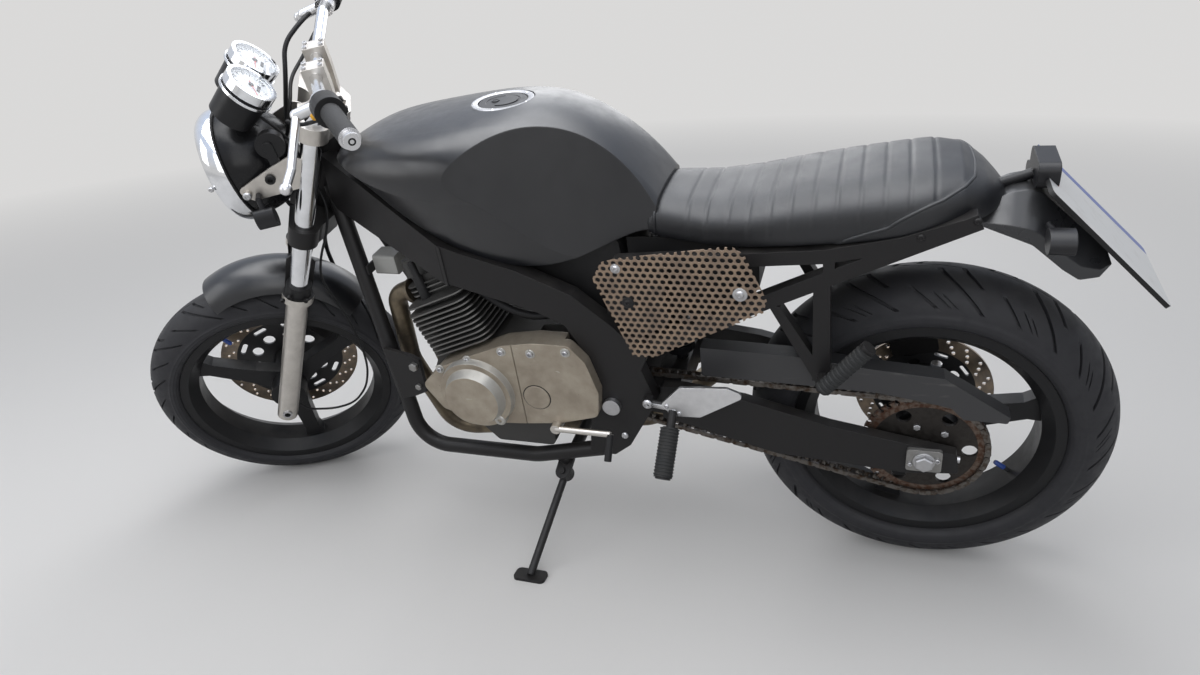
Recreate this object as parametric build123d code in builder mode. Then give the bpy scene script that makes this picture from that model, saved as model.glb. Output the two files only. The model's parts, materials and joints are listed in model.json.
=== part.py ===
"""Cafe racer motorcycle, parked on its side stand with the steering on its left stop.

Everything is drawn on the upright bike: X forward from the rear axle, Y to the rider's left, Z up from the
road. The front assembly is drawn straight ahead and then turned to its stop. At the end every piece leans
over with the bike until both tyres and the stand's foot are on the ground. Millimetres and degrees.
"""
from build123d import *
from math import asin, cos, degrees, hypot, pi, radians, sin, sqrt, tan
import os

os.makedirs("parts", exist_ok=True)

# Stance and steering geometry
WHEELBASE = 1405
RAKE = 25
FORK_OFFSET = 40
LEAN = 10.35
STEER_STOP = 31.2

# Tyres and rims
FRONT_TYRE_R = 293
FRONT_TYRE_W = 110
REAR_TYRE_R = 313.5
REAR_TYRE_W = 140
TREAD_THICK = 11
RIM_SEAT_R = 218
FLANGE_H = 11
RIM_FLANGE_R = RIM_SEAT_R + FLANGE_H
RIM_WALL = 5
FRONT_RIM_W = 84
REAR_RIM_W = 104
SPOKE_COUNT = 3

# Brakes and chain drive
FRONT_DISC_R = 155
REAR_DISC_R = 125
DISC_THICK = 5
FRONT_DISC_Y = -66
REAR_DISC_Y = -82
CHAIN_Y = 86
CHAIN_PITCH = 15.875
CHAIN_W = 17
REAR_TEETH = 41
FRONT_TEETH = 16
FRONT_SPROCKET = (632, 398)

# Fork
FORK_Y = 95
STANCHION_R = 18.5
SLIDER_R = 22
SLIDER_TOP = 340
LOWER_YOKE = 488
UPPER_YOKE = 716
YOKE_THICK = 38
STEM_R = 14

# Frame
HEAD_R = 27
SPAR_Y = 124
SPAR_W = 32
SPAR_INNER = SPAR_Y - SPAR_W / 2
DOWNTUBE_R = 16
RAIL_Y = 118
PIVOT = (552, 388)
PIVOT_R = 9
SUBFRAME_Y = 118
SUBFRAME_TUBE = 24

# Clearance between pieces that are seated on each other but curve or turn
SEAT_GAP = 0.3

TRAIL = (FRONT_TYRE_R * sin(radians(RAKE)) - FORK_OFFSET) / cos(radians(RAKE))
REAR_AXLE = Vector(0, 0, REAR_TYRE_R)
FRONT_AXLE = Vector(WHEELBASE, 0, FRONT_TYRE_R)
STEER_DIR = Vector(-sin(radians(RAKE)), 0, cos(radians(RAKE)))
STEER_FOOT = Vector(WHEELBASE + TRAIL, 0, 0)


# Planes that the pieces are drawn on

def side(y, x=0, z=0):
    """Side view at distance y from the middle: forward is to the right, extrusion goes to the bike's right."""
    return Plane(origin=(x, y, z), x_dir=(1, 0, 0), z_dir=(0, -1, 0))


def wheel_section(centre):
    """Cross-section of a wheel: its width along the first axis, its radius along the second."""
    return Plane(origin=centre, x_dir=(0, 1, 0), z_dir=(1, 0, 0))


def on_fork(s, y=0, back=0):
    """A point at height s along the fork legs, measured from the front axle."""
    rearward = Vector(-cos(radians(RAKE)), 0, -sin(radians(RAKE)))
    return FRONT_AXLE + STEER_DIR * s + rearward * back + Vector(0, y, 0)


def across_fork(s, y=0):
    """Plane square to the fork legs: left along the first axis, rearward along the second."""
    return Plane(origin=on_fork(s, y), x_dir=(0, 1, 0), z_dir=STEER_DIR)


def tube(points, radius, radii):
    """Round bar through the points with bent corners, added to the piece being built."""
    with BuildLine() as path:
        FilletPolyline(*points, radius=radii)
    start = Vector(*points[0])
    with BuildSketch(Plane(origin=start, z_dir=Vector(*points[1]) - start)) as section:
        Circle(radius)
    sweep(section.sketch, path=path.wire())


def rod(start, end, radius):
    """Straight round bar between two points, added to the piece being built."""
    a, b = Vector(*start), Vector(*end)
    with BuildSketch(Plane(origin=a, z_dir=b - a)) as section:
        Circle(radius)
    extrude(section.sketch, amount=(b - a).length)


def cord(points, diameter):
    """Cable clipped to the bike: straight runs joined by arcs as large as its runs allow."""
    spots = [Vector(*point) for point in points]
    radii = []
    for before, here, after in zip(spots, spots[1:], spots[2:]):
        shorter = min((here - before).length, (after - here).length)
        radii.append(0.45 * shorter / tan(radians((here - before).get_angle(after - here)) / 2))
    tube([tuple(spot) for spot in spots], diameter / 2, radii)
    print("cable radii", [round(radius) for radius in radii])


# Where a tyre's tread ends, as shares of its half width and of its height over the rim flange
SHOULDER_OUT = 0.97
SHOULDER_UP = 0.36


def tyre_shoulder(radius, width):
    """The tread's edge: its distance from the middle, its radius, and the radius of the crown's arc."""
    across = SHOULDER_OUT * width / 2
    up = RIM_FLANGE_R + SHOULDER_UP * (radius - RIM_FLANGE_R)
    drop = radius - up
    return across, up, (across ** 2 + drop ** 2) / (2 * drop)


# How the bike stands: the steering turned to its stop, the lean, and the small dip of the nose
LIFT = tyre_shoulder(REAR_TYRE_R, REAR_TYRE_W)[2] * (1 - cos(radians(LEAN)))


def turned(point):
    """The point after the steering is turned to its left stop."""
    return Vertex(*point).rotate(Axis(STEER_FOOT, STEER_DIR), STEER_STOP).center()


def leaned(point, dip=0.0):
    """The point after the whole bike leans left on the rear tyre's tread and dips its nose."""
    over = Vertex(*point).rotate(Axis.X, -LEAN).center() + Vector(0, 0, LIFT)
    return Vertex(*over).rotate(Axis.Y, dip).center()


def front_lowest():
    """Height of the front tyre's lowest point above the road before the nose dips."""
    crown = tyre_shoulder(FRONT_TYRE_R, FRONT_TYRE_W)[2]
    centre = leaned(turned(FRONT_AXLE))
    axle = leaned(turned(FRONT_AXLE + Vector(0, 1, 0))) - centre
    return centre.Z - (FRONT_TYRE_R - crown) * sqrt(1 - axle.Z ** 2) - crown, centre.X


LOW, LOW_X = front_lowest()
NOSE_DIP = degrees(asin(LOW / LOW_X))
ROAD_UP = Vertex(0, 0, 1).rotate(Axis.Y, -NOSE_DIP).rotate(Axis.X, LEAN).center()


def on_road(x, y):
    """The point of the upright bike at x, y that lies on the road once the bike is stood on it."""
    return Vector(x, y, -(LIFT * cos(radians(NOSE_DIP)) + ROAD_UP.X * x + ROAD_UP.Y * y) / ROAD_UP.Z)


# Wheels

BEAD_W = 9


def make_tyre(centre, radius, width, rim_width):
    """Tyre carcass: round crown, bulging walls and beads seated on the rim."""
    across, up, crown = tyre_shoulder(radius, width)
    shoulder = (across, up)
    inside = (across - TREAD_THICK, up)
    bead = rim_width / 2
    toe = bead - BEAD_W
    with BuildPart() as tyre:
        with BuildSketch(wheel_section(centre)):
            with BuildLine():
                ThreePointArc((-shoulder[0], shoulder[1]), (0, radius), shoulder)
                wall = TangentArc((bead, RIM_FLANGE_R), shoulder, tangent=(1, 0))
                Polyline((bead, RIM_FLANGE_R), (bead, RIM_SEAT_R), (toe, RIM_SEAT_R))
                Line((toe, RIM_SEAT_R), inside)
                ThreePointArc(inside, (0, radius - TREAD_THICK), (-inside[0], inside[1]))
                Polyline((-inside[0], inside[1]), (-toe, RIM_SEAT_R), (-bead, RIM_SEAT_R), (-bead, RIM_FLANGE_R))
                mirror(wall, about=Plane.YZ)
            make_face()
        revolve(axis=Axis(centre, (0, 1, 0)))
    return tyre


def make_rim(centre, rim_width, hub_r, hub_left, hub_right, bore_r, first_spoke, spoke_w):
    """Cast three-spoke wheel: channel rim, hub and tapering spokes."""
    edge = rim_width / 2
    well_r = RIM_SEAT_R - 18
    hub_len = hub_left + hub_right
    with BuildPart() as rim:
        with BuildSketch(wheel_section(centre)):
            with BuildLine():
                Polyline(
                    (-edge - RIM_WALL, RIM_FLANGE_R), (-edge, RIM_FLANGE_R), (-edge, RIM_SEAT_R),
                    (-edge + 16, RIM_SEAT_R - 1), (-edge + 24, well_r), (edge - 24, well_r),
                    (edge - 16, RIM_SEAT_R - 1), (edge, RIM_SEAT_R), (edge, RIM_FLANGE_R),
                    (edge + RIM_WALL, RIM_FLANGE_R), (edge + RIM_WALL, RIM_SEAT_R - RIM_WALL - 2),
                    (edge - 20, well_r - RIM_WALL - 3), (-edge + 20, well_r - RIM_WALL - 3),
                    (-edge - RIM_WALL, RIM_SEAT_R - RIM_WALL - 2), close=True)
            make_face()
        revolve(axis=Axis(centre, (0, 1, 0)))
        with BuildSketch(side(hub_left, centre.X, centre.Z)):
            Circle(hub_r)
        extrude(amount=hub_len)
        half = spoke_w / 2
        with BuildSketch(side(0, centre.X, centre.Z)):
            with PolarLocations(0, SPOKE_COUNT, start_angle=first_spoke):
                with Locations((0, 0)):
                    Polygon((hub_r * 0.6, -half * 1.5), (hub_r * 0.6, half * 1.5), (hub_r + 40, half),
                            (well_r - 30, half * 0.8), (well_r - 6, half * 1.15),
                            (well_r - 6, -half * 1.15), (well_r - 30, -half * 0.8), (hub_r + 40, -half),
                            align=None)
        extrude(amount=15, both=True)
        with BuildSketch(side(hub_left, centre.X, centre.Z)):
            Circle(bore_r)
        extrude(amount=hub_len, mode=Mode.SUBTRACT)
    return rim


DISC_HOLE_R = 3.6
CARRIER_HOLES = 10


def make_disc(centre, y, radius, band, bore_r):
    """Drilled brake disc: a ring with swept rows of holes on a carrier with a slot and a window in each arm."""
    inner_r = radius - band
    room = inner_r - bore_r
    with BuildPart() as disc:
        with BuildSketch(side(y, centre.X, centre.Z)):
            Circle(radius)
            Circle(bore_r, mode=Mode.SUBTRACT)
            for row, turn in ((0.24, 0), (0.52, 5), (0.80, 10)):
                with PolarLocations(radius - band * row, 2 * CARRIER_HOLES, start_angle=turn):
                    Circle(DISC_HOLE_R, mode=Mode.SUBTRACT)
            with PolarLocations(inner_r - room * 0.15, CARRIER_HOLES):
                SlotOverall(inner_r * 0.28, room * 0.12, rotation=90, mode=Mode.SUBTRACT)
            with PolarLocations(inner_r - room * 0.50, CARRIER_HOLES):
                Ellipse(room * 0.14, inner_r * 0.115, mode=Mode.SUBTRACT)
        extrude(amount=DISC_THICK)
    return disc


AXLE_R = 10
AXLE_BORE_R = 6.5
FRONT_HUB_R = 38
REAR_HUB_R = 62
FRONT_HUB_LEFT = 58
REAR_HUB_LEFT = 66
front_tyre = make_tyre(FRONT_AXLE, FRONT_TYRE_R, FRONT_TYRE_W, FRONT_RIM_W)
rear_tyre = make_tyre(REAR_AXLE, REAR_TYRE_R, REAR_TYRE_W, REAR_RIM_W)
front_rim = make_rim(FRONT_AXLE, FRONT_RIM_W, FRONT_HUB_R, FRONT_HUB_LEFT, -FRONT_DISC_Y, AXLE_R + 0.05, 33, 40)
rear_rim = make_rim(REAR_AXLE, REAR_RIM_W, REAR_HUB_R, REAR_HUB_LEFT, -REAR_DISC_Y, AXLE_R + 0.05, 166, 46)
front_disc = make_disc(FRONT_AXLE, FRONT_DISC_Y, FRONT_DISC_R, 35, FRONT_HUB_R - 8)
rear_disc = make_disc(REAR_AXLE, REAR_DISC_Y, REAR_DISC_R, 31, REAR_HUB_R - 24)


def sprocket_r(teeth):
    """Pitch radius of a sprocket for the drive chain."""
    return CHAIN_PITCH / (2 * sin(pi / teeth))


REAR_PITCH_R = sprocket_r(REAR_TEETH)
FRONT_PITCH_R = sprocket_r(FRONT_TEETH)
SPROCKET_THICK = 7
with BuildPart() as rear_sprocket:
    with BuildSketch(side(CHAIN_Y + SPROCKET_THICK / 2, 0, REAR_TYRE_R)):
        Circle(REAR_PITCH_R + 4)
        with PolarLocations(REAR_PITCH_R, REAR_TEETH):
            Circle(4.6, mode=Mode.SUBTRACT)
        Circle(AXLE_R + 8, mode=Mode.SUBTRACT)
        with PolarLocations(REAR_PITCH_R * 0.72, 6):
            Circle(13, mode=Mode.SUBTRACT)
    extrude(amount=SPROCKET_THICK)
    with BuildSketch(side(CHAIN_Y - SPROCKET_THICK / 2, 0, REAR_TYRE_R)):
        Circle(REAR_HUB_R - 6)
        Circle(AXLE_R + 8, mode=Mode.SUBTRACT)
    extrude(amount=CHAIN_Y - SPROCKET_THICK / 2 - REAR_HUB_LEFT)

# Front fork: yokes, stanchions, sliders, brace, mudguard, axle
FORK_TOP = UPPER_YOKE + 34
SLIDER_END = -22
SEAL_H = 24
SEAL_R = SLIDER_R + 3
COLLAR_H = 16
COLLAR_R = SLIDER_R + 9
with BuildPart() as fork_stanchions:
    for y in (-FORK_Y, FORK_Y):
        with BuildSketch(across_fork(SLIDER_TOP + SEAL_H, y)):
            Circle(STANCHION_R)
        extrude(amount=FORK_TOP - SLIDER_TOP - SEAL_H)

AXLE_CLEAR = 0.05
FORK_OUTER = FORK_Y + SLIDER_R
with BuildPart() as fork_sliders:
    for y in (-FORK_Y, FORK_Y):
        with BuildSketch(across_fork(SLIDER_END, y)):
            Circle(SLIDER_R)
        extrude(amount=SLIDER_TOP - SLIDER_END)
        with BuildSketch(across_fork(SLIDER_TOP - COLLAR_H, y)):
            Circle(COLLAR_R)
        extrude(amount=COLLAR_H)
        with BuildSketch(across_fork(SLIDER_TOP, y)):
            Circle(SEAL_R)
        extrude(amount=SEAL_H)
    with BuildSketch(side(FORK_OUTER + 1, FRONT_AXLE.X, FRONT_AXLE.Z)):
        Circle(AXLE_R + AXLE_CLEAR)
    extrude(amount=2 * FORK_OUTER + 2, mode=Mode.SUBTRACT)

# The hollow front axle carries the wheel between spacers that stop short of the turning hub
SPACER_R = AXLE_R + 6
HUB_GAP = 0.5
with BuildPart() as front_axle:
    with BuildSketch(side(FORK_OUTER + 4, FRONT_AXLE.X, FRONT_AXLE.Z)):
        Circle(AXLE_R)
        Circle(AXLE_BORE_R, mode=Mode.SUBTRACT)
    extrude(amount=2 * FORK_OUTER + 8)
    inner = FORK_Y - SLIDER_R
    with BuildSketch(side(inner, FRONT_AXLE.X, FRONT_AXLE.Z)):
        Circle(SPACER_R)
        Circle(AXLE_R, mode=Mode.SUBTRACT)
    extrude(amount=inner - FRONT_HUB_LEFT - HUB_GAP)
    with BuildSketch(side(FRONT_DISC_Y - DISC_THICK - HUB_GAP, FRONT_AXLE.X, FRONT_AXLE.Z)):
        Circle(SPACER_R)
        Circle(AXLE_R, mode=Mode.SUBTRACT)
    extrude(amount=inner + FRONT_DISC_Y - DISC_THICK - HUB_GAP)

CLAMP_WALL = 10
with BuildPart() as fork_yokes:
    for s, thick in ((LOWER_YOKE - YOKE_THICK / 2, YOKE_THICK), (UPPER_YOKE - YOKE_THICK / 2, YOKE_THICK - 8)):
        clamp = STANCHION_R + CLAMP_WALL
        with BuildSketch(across_fork(s)):
            with BuildLine():
                Polyline((-FORK_Y, -clamp), (FORK_Y, -clamp), (FORK_Y, clamp), (30, FORK_OFFSET + 24),
                         (-30, FORK_OFFSET + 24), (-FORK_Y, clamp), close=True)
            make_face()
            with Locations((-FORK_Y, 0), (FORK_Y, 0)):
                Circle(clamp)
            with Locations((-FORK_Y, 0), (FORK_Y, 0)):
                Circle(STANCHION_R, mode=Mode.SUBTRACT)
            with Locations((0, -clamp - 14)):
                Circle(36, mode=Mode.SUBTRACT)
        extrude(amount=thick)
    with BuildSketch(Plane(origin=on_fork(LOWER_YOKE, 0, FORK_OFFSET), x_dir=(0, 1, 0), z_dir=STEER_DIR)):
        Circle(STEM_R)
    extrude(amount=UPPER_YOKE - LOWER_YOKE)
    with BuildSketch(Plane(origin=on_fork(UPPER_YOKE, 0, FORK_OFFSET), x_dir=(0, 1, 0), z_dir=STEER_DIR)):
        RegularPolygon(17, 6)
    extrude(amount=YOKE_THICK / 2 + 2)

BRACE_T = 4
BRACE_Y = FORK_Y - SEAL_R - 0.3
BRACE_TOP = SLIDER_TOP + 74
BRACE_FOOT = SLIDER_TOP - 40
with BuildPart() as fork_brace:
    for outer in (BRACE_Y, -BRACE_Y + BRACE_T):
        with BuildSketch(side(outer)):
            corners = [on_fork(s, 0, back) for s, back in
                       ((BRACE_FOOT, -22), (BRACE_FOOT, 22), (SLIDER_TOP, 27), (BRACE_TOP - 10, 28),
                        (BRACE_TOP, 16), (BRACE_TOP, -18), (BRACE_TOP - 12, -28), (SLIDER_TOP, -27))]
            with BuildLine():
                Polyline(*[(c.X, c.Z) for c in corners], close=True)
            make_face()
        extrude(amount=BRACE_T)
    with BuildSketch(across_fork(BRACE_TOP - 16)):
        Rectangle(2 * BRACE_Y - BRACE_T, 40)
    extrude(amount=6)
    add(fork_sliders.part, mode=Mode.SUBTRACT)

# Mudguard: a short arched shell, its arc centred above and behind the wheel's centre
GUARD_THICK = 2.5
GUARD_HALF = 62
GUARD_R = 220
GUARD_LIFT = 130
GUARD_LEAN = 20
GUARD_DROP = 44
GUARD_HALF_ARC = 48
guard_centre = FRONT_AXLE + Vector(-GUARD_LIFT * sin(radians(GUARD_LEAN)), 0, GUARD_LIFT * cos(radians(GUARD_LEAN)))
guard_up = Vector(-sin(radians(GUARD_LEAN)), 0, cos(radians(GUARD_LEAN)))
with BuildPart() as front_mudguard:
    for turn in (GUARD_HALF_ARC, -GUARD_HALF_ARC):
        with BuildSketch(Plane(origin=guard_centre, x_dir=(0, 1, 0), z_dir=Vector(0, 1, 0).cross(guard_up))):
            with BuildLine():
                edge = (GUARD_HALF, GUARD_R - GUARD_DROP)
                lip = (GUARD_HALF - GUARD_THICK, GUARD_R - GUARD_DROP)
                ThreePointArc((-edge[0], edge[1]), (0, GUARD_R), edge)
                Line(edge, lip)
                ThreePointArc(lip, (0, GUARD_R - GUARD_THICK), (-lip[0], lip[1]))
                Line((-lip[0], lip[1]), (-edge[0], edge[1]))
            make_face()
        revolve(axis=Axis(guard_centre, (0, 1, 0)), revolution_arc=turn)
    for mirror_y in (-1, 1):
        for back in (-13, 13):
            inner = on_fork(BRACE_FOOT + 14, mirror_y * (GUARD_HALF - 6), back)
            rod(inner, inner + Vector(0, mirror_y * (BRACE_Y - BRACE_T - GUARD_HALF + 6), 0), 7)


def make_caliper(centre, disc_y, disc_r, angle, long, deep, thick, reach):
    """Two-sided caliper round the disc's rim at the given angle, its bridge outside the disc."""
    with BuildPart() as caliper:
        outward = Vector(cos(radians(angle)), 0, sin(radians(angle)))
        radial = Plane(origin=centre, x_dir=outward, z_dir=(0, -1, 0))
        left = radial.offset(-(disc_y + reach + thick))
        right = radial.offset(-(disc_y - DISC_THICK - 4))
        for plane, amount in ((left, thick), (right, thick + 8)):
            with BuildSketch(plane):
                with Locations((disc_r - deep / 2 + 10, 0)):
                    RectangleRounded(deep, long, 10)
            extrude(amount=amount)
        with BuildSketch(left):
            with Locations((disc_r + 11, 0)):
                RectangleRounded(14, long * 0.8, 4)
        extrude(amount=2 * thick + reach + DISC_THICK + 12)
    return caliper


front_caliper = make_caliper(FRONT_AXLE, FRONT_DISC_Y, FRONT_DISC_R, 152, 104, 52, 14, 4)
with BuildPart() as front_caliper_bracket:
    with BuildSketch(side(-FORK_Y + 10)):
        low, high = on_fork(70, 0, SLIDER_R - 4), on_fork(170, 0, SLIDER_R - 4)
        with BuildLine():
            Polyline((low.X, low.Z), (high.X, high.Z), (high.X - 50, high.Z - 24), (low.X - 62, low.Z + 10), close=True)
        make_face()
    extrude(amount=8)
    add(fork_sliders.part, mode=Mode.SUBTRACT)
    add(front_caliper.part, mode=Mode.SUBTRACT)
with BuildPart() as joined_caliper:
    add(front_caliper.part)
    add(front_caliper_bracket.part.solids().sort_by(SortBy.VOLUME)[-1])
front_caliper = joined_caliper

# Headlight: bowl with its reflector, rim, lens, and the two plate brackets on the fork
LIGHT_R = 106
LIGHT_TILT = 6
LIGHT_BACK = 34
LIGHT_DEEP = 146
LIGHT_AT = Vector(1307, 0, 855)
LIGHT_DIR = Vector(cos(radians(LIGHT_TILT)), 0, -sin(radians(LIGHT_TILT)))
light_plane = Plane(origin=LIGHT_AT, x_dir=LIGHT_DIR, z_dir=(0, -1, 0))
light_axis = Axis(LIGHT_AT, LIGHT_DIR)
BOWL_R = LIGHT_R - 6
REFLECTOR_DEEP = 96
REFLECTOR_WALL = 10


def dome_point(edge, tip):
    """Halfway point of the arc from an edge point to a tip on the first axis, centred on that axis."""
    centre = (edge[0] ** 2 + edge[1] ** 2 - tip[0] ** 2) / (2 * (edge[0] - tip[0]))
    towards = Vector(edge[0] - centre, edge[1]).normalized() + Vector(tip[0] - centre, 0).normalized()
    halfway = towards.normalized() * abs(tip[0] - centre)
    return centre + halfway.X, halfway.Y


with BuildPart() as headlight_bowl:
    for edge_r, deep, mode in ((BOWL_R, LIGHT_DEEP, Mode.ADD), (BOWL_R - REFLECTOR_WALL, REFLECTOR_DEEP, Mode.SUBTRACT)):
        edge, tip = (-LIGHT_BACK, edge_r), (-deep, 0)
        with BuildSketch(light_plane):
            with BuildLine():
                Line((-LIGHT_BACK, 0), edge)
                ThreePointArc(edge, dome_point(edge, tip), tip)
                Line(tip, (-LIGHT_BACK, 0))
            make_face()
        revolve(axis=light_axis, mode=mode)

RIM_IN = LIGHT_R - 14
with BuildPart() as headlight_rim:
    with BuildSketch(light_plane):
        with BuildLine():
            Polyline((-LIGHT_BACK, RIM_IN), (-LIGHT_BACK, LIGHT_R))
            ThreePointArc((-LIGHT_BACK, LIGHT_R), (-LIGHT_BACK / 2, LIGHT_R + 1), (0, LIGHT_R - 8))
            Polyline((0, LIGHT_R - 8), (0, RIM_IN), (-LIGHT_BACK, RIM_IN))
        make_face()
    revolve(axis=light_axis)

LENS_T = 5
LENS_CROWN = 13
with BuildPart() as headlight_lens:
    front_tip, front_edge = (10, 0), (10 - LENS_CROWN, RIM_IN)
    back_tip, back_edge = (10 - LENS_T, 0), (10 - LENS_CROWN - LENS_T, RIM_IN)
    with BuildSketch(light_plane):
        with BuildLine():
            Line(back_tip, front_tip)
            ThreePointArc(front_tip, dome_point(front_edge, front_tip), front_edge)
            Line(front_edge, back_edge)
            ThreePointArc(back_edge, dome_point(back_edge, back_tip), back_tip)
        make_face()
    revolve(axis=light_axis)

BRACKET_T = 4
BRACKET_Y = BOWL_R + 3
BRACKET_OUTLINE = ((1272, 862), (1196, 894), (1162, 906), (1138, 894), (1152, 840), (1250, 836))
with BuildPart() as headlight_brackets:
    for outer in (BRACKET_Y + BRACKET_T, -BRACKET_Y):
        with BuildSketch(side(outer)):
            with BuildLine():
                Polyline(*BRACKET_OUTLINE, close=True)
            make_face()
            fillet(vertices(), 9)
            with Locations((1206, 872)):
                Circle(9, mode=Mode.SUBTRACT)
        extrude(amount=BRACKET_T)
    for start, end in ((BRACKET_Y + BRACKET_T + 6, BRACKET_Y - 10), (-BRACKET_Y + 10, -BRACKET_Y - BRACKET_T - 6)):
        with BuildSketch(side(start, 1256, 852)):
            Circle(8)
        extrude(amount=start - end)
    add(fork_stanchions.part, mode=Mode.SUBTRACT)
    add(headlight_bowl.part, mode=Mode.SUBTRACT)

# Gauges: two round cups side by side on a plate
GAUGE_R = 44.7
GAUGE_Y = 48
GAUGE_TILT = 40
GAUGE_DEEP = 78
BEZEL_DEEP = 16
DIAL_DEEP = 6
DIAL_R = 38
RING_DEEP = 5
GAUGE_AT = Vector(1177, 0, 1026)
GAUGE_DIR = Vector(-cos(radians(GAUGE_TILT)), 0, sin(radians(GAUGE_TILT)))
with BuildPart() as gauges:
    for y in (-GAUGE_Y, GAUGE_Y):
        face = GAUGE_AT + Vector(0, y, 0)
        with BuildSketch(Plane(origin=face, x_dir=(0, 1, 0), z_dir=GAUGE_DIR)):
            Circle(GAUGE_R)
        extrude(amount=-BEZEL_DEEP)
        with BuildSketch(Plane(origin=face - GAUGE_DIR * (BEZEL_DEEP + RING_DEEP), x_dir=(0, 1, 0), z_dir=GAUGE_DIR)):
            Circle(GAUGE_R + 2)
        extrude(amount=-RING_DEEP)
        with BuildSketch(Plane(origin=face, x_dir=(0, 1, 0), z_dir=GAUGE_DIR)):
            Circle(DIAL_R)
        extrude(amount=-DIAL_DEEP, mode=Mode.SUBTRACT)
        with BuildSketch(Plane(origin=face - GAUGE_DIR * BEZEL_DEEP, x_dir=(0, 1, 0), z_dir=GAUGE_DIR)):
            Circle(GAUGE_R - 3)
        extrude(amount=BEZEL_DEEP - GAUGE_DEEP, taper=3)
    with BuildSketch(Plane(origin=GAUGE_AT - GAUGE_DIR * GAUGE_DEEP, x_dir=(0, 1, 0), z_dir=GAUGE_DIR)):
        Rectangle(2 * GAUGE_Y, 44)
        with Locations((0, 40)):
            Rectangle(60, 60)
    extrude(amount=-4)
    add(fork_yokes.part, mode=Mode.SUBTRACT)
    add(headlight_bowl.part, mode=Mode.SUBTRACT)

# Handlebar on two risers, with its grips and hand controls
BAR_R = 11
BAR_RISE = 74.5
BAR_AT = on_fork(UPPER_YOKE + BAR_RISE, 0, -1.2)
BAR_BEND = Vector(-18, 180, 22)
BAR_END = Vector(-72, 372, 46)
RISER_W = 32
RISER_Y = 42
RISER_HALF = 20
BAR_POINTS = [BAR_AT + BAR_END, BAR_AT + BAR_BEND, BAR_AT + Vector(0, 60, 0)]
BAR_POINTS += [BAR_AT + Vector(out.X, -out.Y, out.Z) for out in (Vector(0, 60, 0), BAR_BEND, BAR_END)]
with BuildPart() as handlebar:
    tube([tuple(point) for point in BAR_POINTS], BAR_R, 60)
    for y in (-RISER_Y, RISER_Y):
        with BuildSketch(side(y + RISER_W / 2, BAR_AT.X, BAR_AT.Z)):
            with BuildLine():
                Polyline((-RISER_HALF, RISER_HALF), (RISER_HALF, RISER_HALF), (RISER_HALF, -BAR_RISE - 6),
                         (-RISER_HALF + 4, -BAR_RISE - 6), (-RISER_HALF, -RISER_HALF), close=True)
            make_face()
        extrude(amount=RISER_W)
    add(fork_yokes.part, mode=Mode.SUBTRACT)

GRIP_R = 16.5
GRIP_FROM = 78
GRIP_CLEAR = 0.1
bar_lines = []
for mirror_y in (-1, 1):
    inner_end = BAR_AT + Vector(BAR_BEND.X, mirror_y * BAR_BEND.Y, BAR_BEND.Z)
    outer_end = BAR_AT + Vector(BAR_END.X, mirror_y * BAR_END.Y, BAR_END.Z)
    bar_lines.append((mirror_y, inner_end, outer_end, (outer_end - inner_end).normalized()))

with BuildPart() as grips:
    for mirror_y, inner_end, outer_end, along in bar_lines:
        with BuildSketch(Plane(origin=inner_end + along * GRIP_FROM, z_dir=along)):
            Circle(GRIP_R)
            Circle(BAR_R + GRIP_CLEAR, mode=Mode.SUBTRACT)
        extrude(amount=(outer_end - inner_end).length - GRIP_FROM)
        with BuildSketch(Plane(origin=outer_end, z_dir=along)):
            Circle(13)
        extrude(amount=14)

POD_R = 25
with BuildPart() as hand_controls:
    for mirror_y, inner_end, outer_end, along in bar_lines:
        with BuildSketch(Plane(origin=inner_end + along * 36, z_dir=along)):
            Circle(POD_R)
        extrude(amount=40)
        with BuildSketch(Plane(origin=inner_end + along * 8, z_dir=along)):
            Circle(18)
        extrude(amount=28)
        root = inner_end + along * 22
        knuckle = root + Vector(48, 0, -10)
        bend = BAR_AT + Vector(44, mirror_y * 296, -24)
        tip = BAR_AT + Vector(56, mirror_y * 326, -36)
        rod(root, knuckle, 10)
        rod(knuckle, bend, 7)
        rod(bend, tip, 7)
        with Locations(knuckle):
            Sphere(10)
        with Locations(bend):
            Sphere(7)
        with Locations(tip):
            Sphere(10)
        with BuildSketch(Plane(origin=inner_end + along * 7, z_dir=along)):
            Circle(BAR_R + GRIP_CLEAR)
        extrude(amount=72, mode=Mode.SUBTRACT)

INDICATOR_AT = Vector(1238, 128, 808)
INDICATOR_LONG = 36
with BuildPart() as front_indicators:
    for mirror_y in (-1, 1):
        outer = BRACKET_Y + BRACKET_T
        elbow = Vector(INDICATOR_AT.X, mirror_y * (outer + 16), 846)
        lamp = Vector(INDICATOR_AT.X, mirror_y * INDICATOR_AT.Y, INDICATOR_AT.Z)
        rod((elbow.X, mirror_y * outer, elbow.Z), elbow, 5)
        rod(elbow - Vector(0, mirror_y * 4, 0), lamp + Vector(0, 0, 6), 5)
        with BuildSketch(Plane(origin=lamp + Vector(INDICATOR_LONG / 2, 0, 0), x_dir=(0, 1, 0), z_dir=(-1, 0, 0))):
            Ellipse(13, 20)
        extrude(amount=INDICATOR_LONG)

# Horn on a strip from the left headlight bracket
HORN_AT = Vector(1183, 100, 930)
HORN_R = 26
HORN_DEEP = 22
STRIP_T = 3
with BuildPart() as horn:
    with BuildSketch(side(HORN_AT.Y, HORN_AT.X, HORN_AT.Z)):
        Circle(HORN_R)
    extrude(amount=HORN_DEEP, taper=10)
    with BuildSketch(side(BRACKET_Y, HORN_AT.X, HORN_AT.Z)):
        with Locations((4, -21)):
            RectangleRounded(18, 60, 7)
    extrude(amount=STRIP_T)

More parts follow.
